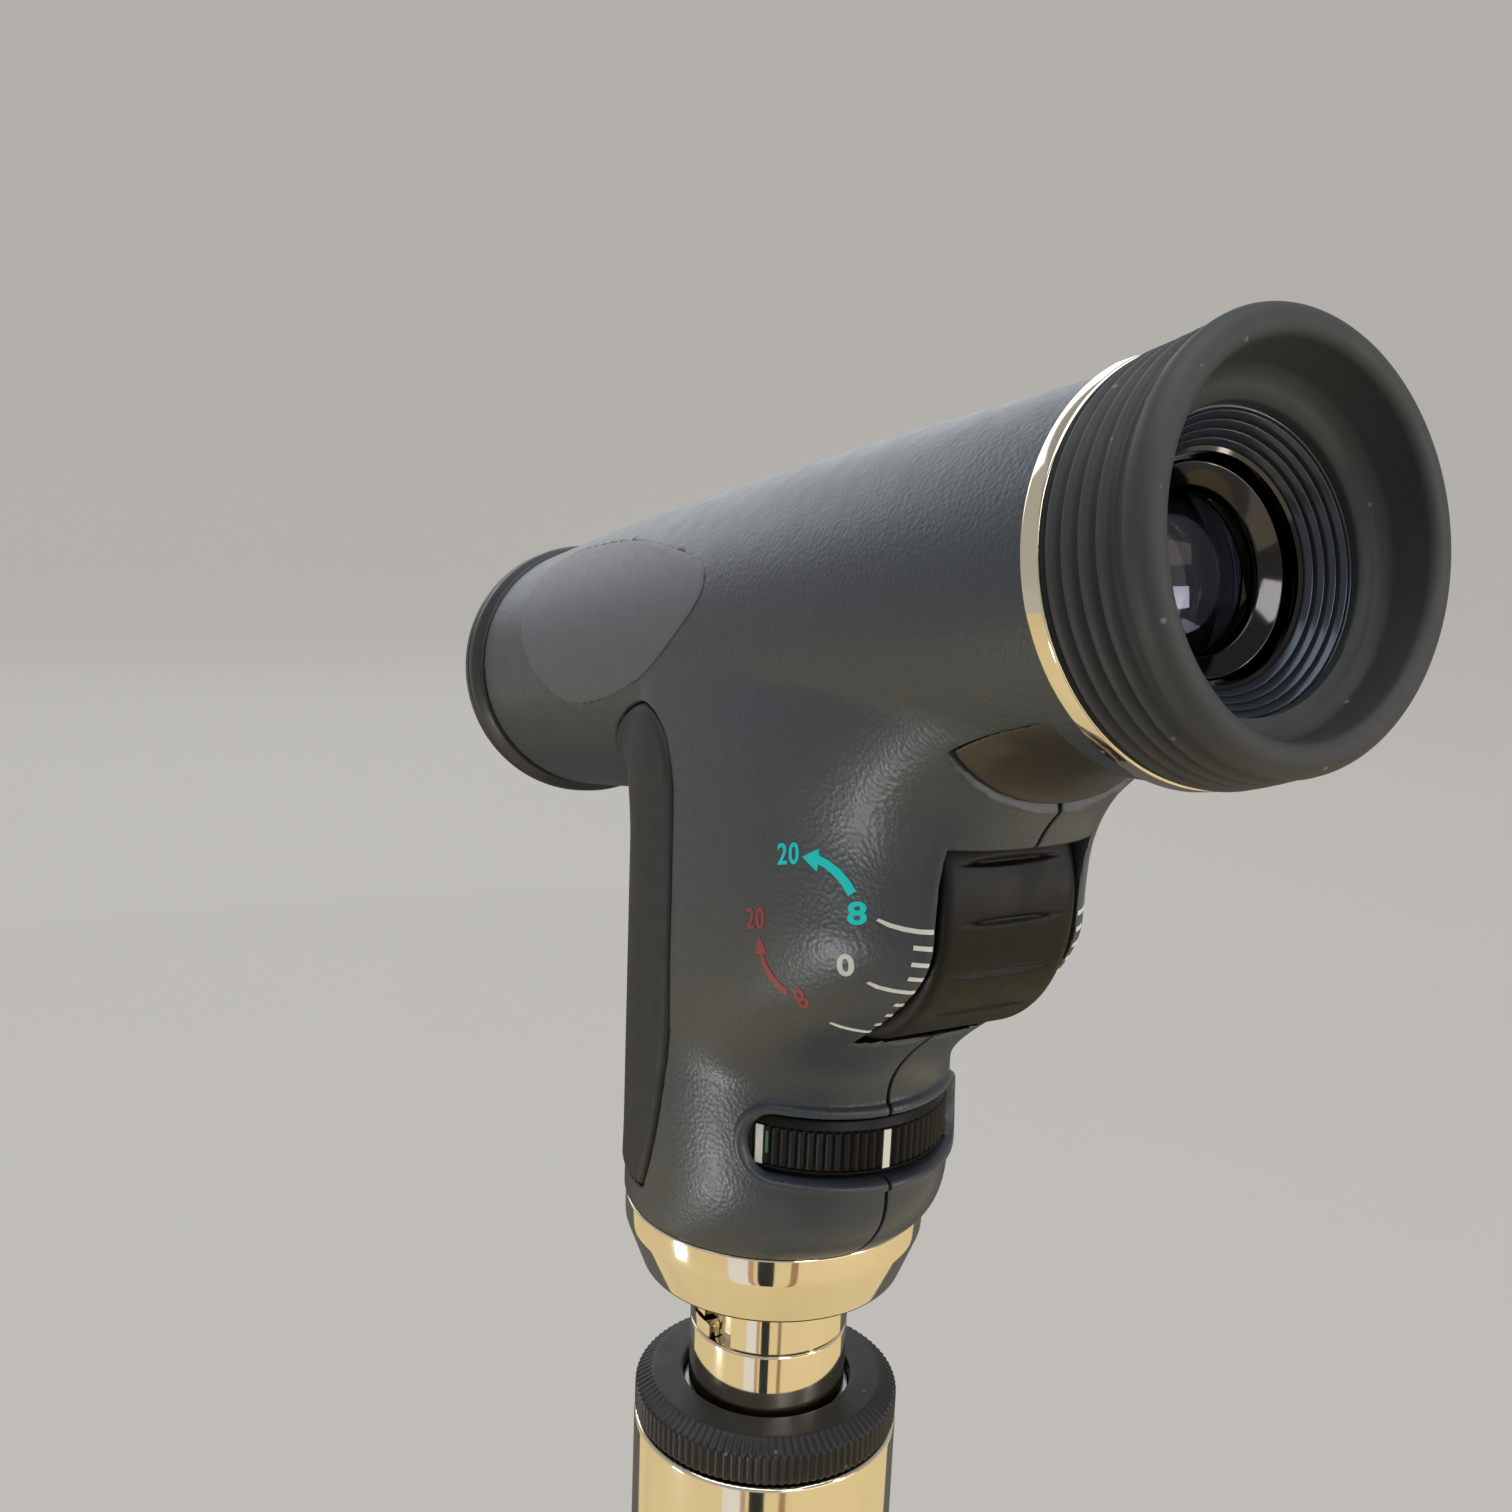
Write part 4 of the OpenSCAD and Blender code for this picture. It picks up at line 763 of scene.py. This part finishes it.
def about_z(angle, points):
    """Points (across, up, outward) set round the handle axis at an angle."""
    p = np.asarray(points, float)
    c, s = math.cos(angle), math.sin(angle)
    return head_place(np.stack([p[:, 2] * c - p[:, 0] * s, p[:, 2] * s + p[:, 0] * c, p[:, 1]], axis=1))


collar = turned_piece("chrome_collar", [
    (7.26, 11.4), (8.6, 11.4, 0.25), (8.6, 18.3, 0.25), (13.85, 18.3, 0.6), (15.95, 23.7, 0.5),
    (16.0, 24.3, 0.3), (16.0, 26.5, 0.25), (13.7, 26.5), (13.7, 29.45, 0.2), (11.7, 29.45, 0.1), (11.7, 21.3),
    (8.6, 20.3), (6.6, 20.3), (6.6, 18.0), (7.26, 18.0)],
    head_place, "head", "chrome", ["collar"], sides=192)
SLOT_END, SLOT_SIDE, SLOT_LOW, SLOT_TOP = 3.14, 0.28, 13.1, 15.3
TWIST = math.radians(12.5)
slot_line = rounded([(SLOT_END, 10.4), (SLOT_END, SLOT_TOP, 0.5), (-SLOT_END, SLOT_TOP, 0.5),
                     (-SLOT_END, SLOT_LOW, 0.5), (SLOT_SIDE, SLOT_LOW, 0.4), (SLOT_SIDE, 10.4)], 4)
carve(collar, [prism(slot_line, 3.6, 9.4, lambda p, a=a: about_z(a + TWIST, p)) for a in (0, math.pi)])

turned_piece("chrome_neck", [
    (5.6, -9), (12.9, -9), (12.9, -7), (8.6, -7), (8.6, 2.75), (8.0, 2.75), (8.0, 3.35), (8.6, 3.35),
    (8.6, 11.25, 0.35), (7.2, 11.25), (7.2, 16.45, 0.3), (5.6, 16.45)],
    head_place, "handle", "chrome", ["neck"], sides=192)
for side, angle in (("right", 0), ("left", math.pi)):
    lug = prism(rounded([(-1, 13.4, 0.2), (1, 13.4, 0.2), (1, 15.0, 0.2), (-1, 15.0, 0.2)], 3), 7.0, 8.35,
                lambda p, a=angle: about_z(a, p))
    add_piece("neck_lug_" + side, *lug, "handle", "chrome")

turned_piece("handle_body", [
    (12.9, -124), (14.5, -124, 0.1), (14.5, -118, 0.1), (14.0, -118), (14.0, -36), (14.5, -36, 0.1),
    (14.5, 0, 0.5), (12.9, 0, 0.3)],
    head_place, "handle", "tube_metal", ["handle_tube"], sides=192)
turned_piece("handle_foot", [
    (4.2, -132, 0.15), (13.5, -132, 0.3), (14.3, -130.8, 0.4), (14.3, -124), (12.9, -124), (12.9, -118, 0.2),
    (10.9, -118, 0.2), (10.9, -124), (6.2, -124), (6.2, -118, 0.2), (4.2, -118)],
    head_place, "handle", "tube_metal", ["base_cap"], sides=192)

SLEEVE_Z, SLEEVE_H, SLEEVE_R, BAND = -118.0, 82.0, 15.2, 3.0
RIB_RUN = (SLEEVE_H - 4 * BAND) / 3
RIBS, RIB_DEPTH = 60, 0.35


def sleeve_cut(radius, height, angle):
    """Rounded ribs in three bands, fading at each band's ends."""
    up = (height - SLEEVE_Z - BAND) % (BAND + RIB_RUN)
    inside = np.clip(np.minimum(up, RIB_RUN - up) / 0.7, 0, 1)
    groove = 0.5 - 0.5 * np.cos(RIBS * angle)
    outer = radius > 14.6
    return np.where(outer, radius - RIB_DEPTH + RIB_DEPTH * smooth(inside) * groove ** 0.6, radius)


turned_piece("sleeve_rubber", [
    (14.02, SLEEVE_Z), (SLEEVE_R - 0.05, SLEEVE_Z, 0.4), (SLEEVE_R, SLEEVE_Z + SLEEVE_H / 2),
    (SLEEVE_R - 0.05, SLEEVE_Z + SLEEVE_H, 0.4), (14.02, SLEEVE_Z + SLEEVE_H)],
    head_place, "handle", "sleeve", ["grip_sleeve"], sides=480, cut=sleeve_cut, longest=0.8)

# ---- switch ring and lock button

FLUTES, FLUTE_DEPTH = 104, 0.3


def ring_cut(radius, height, angle):
    """Flutes down the ring's side and over its chamfer, with rounded crests."""
    wave = np.abs(np.cos(FLUTES / 2 * angle)) ** 1.2
    rim = 12.55
    outer = (radius > rim) & (height > 0)
    deep = FLUTE_DEPTH * np.clip((radius - rim) / 0.5, 0, 1) * np.clip(height / 0.5, 0, 1)
    return np.where(outer, radius - deep * (1 - wave), radius)


ring = turned_piece("fluted_ring", [
    (12.6, -5), (12.6, 0.25), (14.15, 0.25, 0.15), (14.45, 0.6, 0.2), (14.45, 3.55, 0.3), (12.55, 4.72, 0.15),
    (9.25, 4.8, 0.3), (9.15, 2.6), (8.66, 2.6), (8.66, -5)],
    head_place, "switch_ring", "ring_plastic", ["switch_ring"],
    sides=FLUTES * 7, cut=ring_cut, longest=0.6)
BUTTON_ANGLE, BUTTON_W, BUTTON_H, BUTTON_Z = math.radians(60), 5.0, 2.4, 1.9


def stadium(width, height, grow=0.0, arc=12):
    """The lock button's outline, grown by a margin. It has twice arc points."""
    r = height / 2 + grow
    flat = (width - height) / 2
    a = np.linspace(-math.pi / 2, math.pi / 2, arc)
    right = np.column_stack([flat + r * np.cos(a), BUTTON_Z + r * np.sin(a)])
    left = np.column_stack([-flat - r * np.cos(a), BUTTON_Z - r * np.sin(a)])
    return np.concatenate([right, left])


carve(ring, [prism(stadium(BUTTON_W, BUTTON_H, 0.06), 9.5, 16.5, lambda p: about_z(BUTTON_ANGLE, p))])


def button_mesh():
    """The lock button: a stadium prism with a domed, softly edged thumb face."""
    rows = []
    for shrink, out in ((0.25, 12.05), (0.0, 12.3), (0.0, 14.85), (0.12, 15.15), (0.4, 15.33), (0.8, 15.42)):
        outline = stadium(BUTTON_W, BUTTON_H, -shrink)
        rows.append(np.column_stack([outline, np.full(len(outline), out)]))
    points, around = np.concatenate(rows), len(outline)
    faces = ring_faces(len(rows), around, closed_rows=False)
    faces += [tuple(range(around)[::-1]), tuple(range(len(points) - around, len(points)))]
    return tidy_mesh(about_z(BUTTON_ANGLE, points), faces)


add_piece("button_cap", *button_mesh(), "lock_button", "button_plastic", ["lock_button"], sharp=40)

# ---- aperture dial

DIAL_RIBS = 90
BAND_LOW, BAND_HIGH = 38.15, 42.1
DIAL_MARKS = (-90.0, -146.6)


def dial_cut(radius, height, angle):
    """Upright ribs round the middle of the dial, between smooth bevelled flanges."""
    wave = np.abs(np.cos(DIAL_RIBS / 2 * angle))
    inside = (radius > 12.2) & (height > BAND_LOW) & (height < BAND_HIGH)
    for mark in DIAL_MARKS:
        off = (np.degrees(angle) - mark + 180) % 360 - 180
        wave = np.where(np.abs(off) < 2.6, 1.0, wave)
    return np.where(inside, radius - 0.32 * (1 - wave ** 1.3), radius)


turned_piece("ribbed_dial", [
    (1.56, DIAL_LOW), (3, DIAL_LOW, 0.1), (3, 39.5), (11.55, 39.5), (11.55, DIAL_LOW, 0.1),
    (12.3, DIAL_LOW, 0.2), (12.68, DIAL_LOW + 0.5, 0.1), (12.4, BAND_LOW - 0.03),
    (DIAL_R, BAND_LOW + 0.12, 0.08), (DIAL_R, BAND_HIGH - 0.12, 0.08), (12.4, BAND_HIGH + 0.03),
    (12.6, BAND_HIGH + 0.12, 0.05),
    (12.15, 43.1, 0.2), (11.55, 43.1, 0.1), (11.55, 40.9), (3, 40.9), (3, 43.1, 0.1), (1.56, 43.1)],
    dial_place, "aperture_dial", "wheel_plastic", ["aperture_dial"],
    sides=DIAL_RIBS * 8, cut=dial_cut, longest=1.0)


def dial_patch(name, middle, half, low, high, ink, radius=DIAL_R):
    """A thin closed strip of ink on the dial's band, half its width in degrees."""
    angles = np.radians(np.linspace(middle - half, middle + half, 7))
    inner = [((radius - 0.12) * math.cos(a), (radius - 0.12) * math.sin(a)) for a in angles]
    outer = [((radius + 0.035) * math.cos(a), (radius + 0.035) * math.sin(a)) for a in angles[::-1]]
    add_piece(name, *prism(inner + outer, low, high, dial_place), "aperture_dial", "wheel_plastic", look=ink)


for side, mark in zip(("rear", "side"), DIAL_MARKS):
    dial_patch("dial_mark_" + side, mark, 1.75, 38.2, 42.05, INK_WHITE)
dial_patch("dial_line_green", DIAL_MARKS[1] + 3.6, 0.55, 39.4, 41.6, INK_GREEN)

# ---- focus wheel

WHEEL_GROOVES, GROOVE_TURN = 18, math.radians(1.6)


def wheel_cut(radius, height, angle):
    """Narrow finger grooves that fade towards the wheel's edges."""
    along = np.clip(1 - (np.abs(height) / 5.0) ** 2, 0, 1)
    pitch = 2 * math.pi / WHEEL_GROOVES
    off = ((angle - GROOVE_TURN + pitch / 2) % pitch - pitch / 2) * WHEEL_R
    hollow = np.clip(1 - np.abs(off) / (0.12 + 0.38 * along), 0, 1)
    outer = radius > WHEEL_R - 0.6
    return np.where(outer, radius - 0.4 * along ** 0.6 * smooth(hollow), radius)


half = WHEEL_W / 2
turned_piece("grooved_wheel", [
    (1.5, -half), (4.2, -half, 0.3), (4.8, -half + 0.6), (11.0, -half + 0.9), (11.6, -half, 0.3),
    (WHEEL_R, -half, 1.15), (WHEEL_R, half, 1.15), (11.6, half, 0.3), (11.0, half - 0.9),
    (4.8, half - 0.6), (4.2, half, 0.3), (1.5, half)],
    wheel_place, "focus_wheel", "wheel_plastic", ["focus_wheel"],
    sides=600, arc=8, cut=wheel_cut, longest=0.5, sharp=60)

# ---- scale and arrows on the cheeks

SLANT = math.sqrt(0.5)
# Each view is (axis to the right, direction in which marks are pressed onto the skin)
SIDE_VIEW = (np.array([SLANT, -SLANT, 0.0]), np.array([SLANT, SLANT, 0.0]))
REAR_VIEW = (np.array([1.0, 0.0, 0.0]), np.array([0.0, 1.0, 0.0]))


def on_skin(flat, view, field):
    """Points (right, up) of a view, pressed onto the skin from outside, and the skin's slope there."""
    right, inward = view
    base = flat[:, :1] * right + flat[:, 1:] * np.array([0.0, 0.0, 1.0])
    high = np.full(len(flat), -60.0)
    found = np.zeros(len(flat), bool)
    for reach in np.arange(-60.0, 0.0, 0.2):
        p = base + reach * inward
        hit = field(*p.T) < 0
        high = np.where(found, high, reach)
        found |= hit
    low = high - 0.2
    for _ in range(24):
        mid = (low + high) / 2
        p = base + mid[:, None] * inward
        hit = field(*p.T) < 0
        high, low = np.where(hit, mid, high), np.where(hit, low, mid)
    p = base + high[:, None] * inward
    n = gradient(field, p, 0.05)
    return p, n / np.linalg.norm(n, axis=1, keepdims=True)


def stamp(name, flat, triangles, view, ink, mirrored=False):
    """A thin closed patch of ink over triangles drawn in a view."""
    work = welded(np.pad(flat, ((0, 0), (0, 1))), triangles)
    for _ in range(5):
        bmesh.ops.triangulate(work, faces=work.faces)
        far = [e for e in work.edges if e.calc_length() > 0.5]
        bmesh.ops.subdivide_edges(work, edges=far, cuts=1)
    bmesh.ops.triangulate(work, faces=work.faces)
    bmesh.ops.dissolve_degenerate(work, dist=1e-4, edges=work.edges)
    work.verts.index_update()
    flat = np.array([v.co[:2] for v in work.verts])
    tris = [[v.index for v in f.verts] for f in work.faces]
    rim = [[v.index for v in e.verts] for e in work.edges if len(e.link_faces) == 1]
    work.free()
    skin, normal = on_skin(flat, view, shell_field)
    points = np.concatenate([skin + 0.05 * normal, skin - 0.08 * normal])
    n = len(flat)
    faces = [tuple(t) for t in tris] + [tuple(n + i for i in t[::-1]) for t in tris]
    faces += [(a, b, n + b, n + a) for a, b in rim]
    if mirrored:
        points[:, 0] *= -1
    points, faces = tidy_mesh(points, faces, weld=1e-5)
    add_piece(name, head_place(points), faces, "head", "shell_plastic", sharp=50, look=ink)


def stamp_outline(name, outline, view, ink, mirrored=False):
    flat = np.array(outline, float)
    tris = tessellate_polygon([[Vector((u, v, 0)) for u, v in flat]])
    stamp(name, flat, tris, view, ink, mirrored)


def stamp_text(name, text, origin, right, up, ink, weight=0.02):
    """Numerals filling the box from origin along right and up, in the side view."""
    curve = bpy.data.curves.new(name, "FONT")
    curve.body = text
    curve.offset = weight
    curve.resolution_u = 5
    curve.space_character = 1.12
    writing = bpy.data.objects.new(name + "_writing", curve)
    bpy.context.collection.objects.link(writing)
    mesh = evaluated_mesh(writing)
    mesh.calc_loop_triangles()
    p = np.array([v.co[:2] for v in mesh.vertices])
    p = (p - p.min(axis=0)) / (p.max(axis=0) - p.min(axis=0))
    tris = [tuple(t.vertices) for t in mesh.loop_triangles]
    bpy.data.objects.remove(writing)
    bpy.data.curves.remove(curve)
    bpy.data.meshes.remove(mesh)
    flat = np.array(origin) + p[:, :1] * np.array(right) + p[:, 1:] * np.array(up)
    stamp(name, flat, tris, SIDE_VIEW, ink)


def band(line, widths):
    """The outline of a stroke along a smooth line, with its width at each of its points."""
    line = np.array(line, float)
    heading = np.gradient(line, axis=0)
    heading /= np.linalg.norm(heading, axis=1, keepdims=True)
    aside = np.stack([-heading[:, 1], heading[:, 0]], axis=1) * np.array(widths)[:, None] / 2
    return np.concatenate([line + aside, (line - aside)[::-1]])


LONG_TICKS = [
    [(-10.60, 67.62), (-9.99, 67.33), (-9.2, 67.17), (-8.3, 67.1), (-7.3, 67.14)],
    [(-10.35, 61.8), (-9.7, 61.5), (-8.75, 61.34), (-7.85, 61.3), (-7.3, 61.33)],
    [(-10.46, 56.34), (-9.53, 55.98), (-8.36, 55.73), (-7.6, 55.63), (-7.3, 55.63)]]
SHORT_TICKS = [(-8.54, 65.7), (-8.46, 64.2), (-8.3, 62.76), (-7.95, 59.7), (-7.78, 58.24), (-7.74, 56.84)]
for mirrored, side in ((False, "left"), (True, "right")):
    for i, line in enumerate(LONG_TICKS):
        widths = np.array([0.24, 0.36, 0.4, 0.4, 0.4]) * (1.0, 0.95, 0.75)[i]
        stamp_outline(f"long_tick_{side}_{i}", band(line, widths), REAR_VIEW, INK_WHITE, mirrored)
    for i, (x, z) in enumerate(SHORT_TICKS):
        thick = 0.4 - 0.012 * i
        stamp_outline(f"short_tick_{side}_{i}",
                      band([(x, z), (-7.3, z)], [thick] * 2), REAR_VIEW, INK_WHITE, mirrored)
stamp_outline("arrow_cyan", [
    (9.19, 71.31), (10.80, 72.42), (10.86, 71.83), (11.81, 71.63), (12.88, 71.16), (13.80, 70.45),
    (14.49, 69.63), (13.80, 69.06), (13.14, 69.87), (12.41, 70.46), (11.59, 70.88), (10.83, 71.07),
    (10.69, 70.42)], SIDE_VIEW, INK_CYAN)
stamp_outline("arrow_red", [
    (4.81, 62.94), (5.74, 61.58), (5.30, 61.44), (5.62, 60.68), (6.29, 59.88), (7.15, 59.21),
    (7.97, 58.77), (7.68, 58.12), (6.74, 58.60), (5.82, 59.38), (5.20, 60.34), (4.95, 61.30),
    (4.38, 61.15)], SIDE_VIEW, INK_RED)
stamp_text("number_cyan_20", "20", (6.61, 69.88), (2.24, 0.70), (-0.09, 1.90), INK_CYAN)
stamp_text("number_cyan_8", "8", (13.84, 66.59), (1.76, 0.38), (-0.11, 2.00), INK_CYAN, 0.03)
stamp_text("number_white_0", "0", (13.00, 61.74), (1.61, 0.42), (-0.09, 2.08), INK_WHITE, 0.03)
stamp_text("number_red_20", "20", (3.35, 63.02), (2.09, 0.78), (-0.13, 1.97), INK_RED)
stamp_text("number_red_8", "8", (9.26, 57.10), (0.98, 0.81), (-0.95, 1.65), INK_RED)

# ---- room, lights and camera


def even_out(pale, colour, share):
    """Mixes in an even tone where the camera, metal or glass sees the backdrop, which still takes shadows."""
    tree = pale.node_tree
    rays = tree.nodes.new("ShaderNodeLightPath").outputs
    seen = rays["Is Camera Ray"]
    for ray in ("Is Glossy Ray", "Is Transmission Ray"):
        seen = add_node(tree, "Math", {0: seen, 1: rays[ray]}, operation="MAXIMUM").outputs[0]
    blend = add_node(tree, "MixShader", {
        "Fac": ranged(tree, seen, 0.0, share), 1: tree.nodes["Principled BSDF"].outputs["BSDF"],
        2: add_node(tree, "Emission", {"Color": colour}).outputs["Emission"]})
    wire(tree, tree.nodes["Material Output"], {"Surface": blend.outputs["Shader"]})


# A wide pale sweep under and behind the object
SWEEP = [(1.4, 0.0), (2.2, 0.03), (2.9, 0.3), (3.3, 0.9), (3.4, 2.2)]
SWEEP_SIDES, FLOOR_DROP = 64, 0.0005
points, faces = [(0, 0, -FLOOR_DROP)], []
for r, z in SWEEP:
    turns = [2 * math.pi * k / SWEEP_SIDES for k in range(SWEEP_SIDES)]
    points += [(r * math.cos(a), r * math.sin(a), z - FLOOR_DROP) for a in turns]
for k in range(SWEEP_SIDES):
    after = (k + 1) % SWEEP_SIDES
    faces.append((0, 1 + k, 1 + after))
    for row in range(len(SWEEP) - 1):
        a, b = 1 + row * SWEEP_SIDES, 1 + (row + 1) * SWEEP_SIDES
        faces.append((a + k, b + k, b + after, a + after))
floor = mesh_object("floor", points, faces, 1.0)
floor.data.shade_smooth()
pale = material("pale_floor", (0.66, 0.63, 0.58, 1.0), 0.8, patchy=0.02, patch=300.0, grain=4.0, relief=0.01)
even_out(pale, (0.52, 0.505, 0.48, 1.0), 0.75)
floor.data.materials.append(pale)

TARGET = Vector((0.0, 0.0, 0.205))


def soft_light(name, place, width, height, power, colour, target=TARGET):
    """A rectangular lamp at a place, in metres, turned towards the object."""
    lamp = bpy.data.lights.new(name, "AREA")
    lamp.shape = "RECTANGLE"
    lamp.size, lamp.size_y = width, height
    lamp.energy = power
    lamp.color = colour
    lamp_object = bpy.data.objects.new(name, lamp)
    lamp_object.location = place
    lamp_object.visible_camera = False
    lamp_object.rotation_euler = (target - Vector(place)).to_track_quat("-Z", "Y").to_euler()
    bpy.context.collection.objects.link(lamp_object)
    return lamp_object


soft_light("top_key", (-0.15, -0.15, 1.35), 1.4, 1.2, 11.0, (0.94, 0.97, 1.0))
soft_light("sky_panel", (0.18, 1.35, 0.72), 1.5, 0.7, 4.2, (0.90, 0.95, 1.0))
side_glint = soft_light("side_glint", (-0.30, 0.05, 0.02), 0.04, 0.04, 0.24, (0.93, 0.97, 1.0))
soft_light("warm_bounce", (0.3, -0.95, 0.12), 1.2, 0.4, 1.6, (1.0, 0.84, 0.62), Vector((0.0, 0.0, 0.17)))
soft_light("rear_strip", (0.55, -0.75, 0.35), 0.06, 0.8, 2.2, (1.0, 0.97, 0.92))
window_spark = soft_light("window_spark", (-0.045, -0.925, 0.72), 0.25, 0.3, 1.9, (0.95, 0.97, 1.0))
for spark in (side_glint, window_spark):
    spark.visible_diffuse = False  # only glints on the shells, the glass and the polished metal


def floor_card(name, turn, half, colour, near=0.1, far=0.6, height=0.002):
    """A flat sector by the handle's foot that only shiny surfaces see. Angles in degrees."""
    angles = np.radians(np.linspace(turn - half, turn + half, 25))
    points = [(r * math.sin(a), -r * math.cos(a), height) for r in (near, far) for a in angles]
    card = mesh_object(name, points, [(k, k + 1, k + 26, k + 25) for k in range(24)], 1.0)
    card.data.materials.append(material(name + "_tone", colour, 0.9, patchy=0.05, patch=60.0, relief=0.01))
    card.visible_camera = card.visible_diffuse = card.visible_shadow = False
    card.visible_transmission = card.visible_volume_scatter = False


floor_card("gold_reflector", -28.0, 132.0, (0.92, 0.76, 0.44, 1.0), 0.02, 0.65, 0.001)
floor_card("grey_reflector", 152.0, 48.0, (0.13, 0.125, 0.12, 1.0), 0.02, 0.65, 0.001)
floor_card("white_stripe", -53.0, 7.5, (0.95, 0.94, 0.92, 1.0))
floor_card("rose_stripe", -43.5, 2.0, (0.60, 0.36, 0.24, 1.0))
floor_card("dark_flag", -32.6, 6.0, (0.008, 0.008, 0.01, 1.0))
floor_card("brown_stripe", -12.0, 2.6, (0.42, 0.24, 0.12, 1.0))

world = bpy.data.worlds.new("studio")
bpy.context.scene.world = world
world.use_nodes = True
wire(world.node_tree, world.node_tree.nodes["Background"], {
    "Color": (0.60, 0.61, 0.62, 1.0), "Strength": 0.55})

CAM_TURN, CAM_RISE, CAM_ROLL = math.radians(-28.03), math.radians(11.38), math.radians(2.23)
CAM_AWAY, CAM_ASIDE, CAM_MID = 158.77, -3.77, 73.69 + RIM
CAM_LENS = 1553 / 1512  # focal length over the frame's width
back = np.array([math.sin(CAM_TURN) * math.cos(CAM_RISE), -math.cos(CAM_TURN) * math.cos(CAM_RISE),
                 math.sin(CAM_RISE)])
right = np.cross(-back, [0, 0, 1])
right /= np.linalg.norm(right)
up = np.cross(right, -back)
eye = (np.array([0, 0, CAM_MID]) + right * CAM_ASIDE + back * CAM_AWAY) * MM
cam_x = right * math.cos(CAM_ROLL) + up * math.sin(CAM_ROLL)
cam_y = -right * math.sin(CAM_ROLL) + up * math.cos(CAM_ROLL)
camera = bpy.data.cameras.new("camera")
camera.sensor_width = 36.0
camera.lens = camera.sensor_width * CAM_LENS
camera.clip_start = 0.005
camera_object = bpy.data.objects.new("camera", camera)
camera_object.matrix_world = Matrix([*np.column_stack([cam_x, cam_y, back, eye]).tolist(), (0, 0, 0, 1)])
bpy.context.collection.objects.link(camera_object)
bpy.context.scene.camera = camera_object
bpy.context.scene.view_settings.view_transform = "Standard"
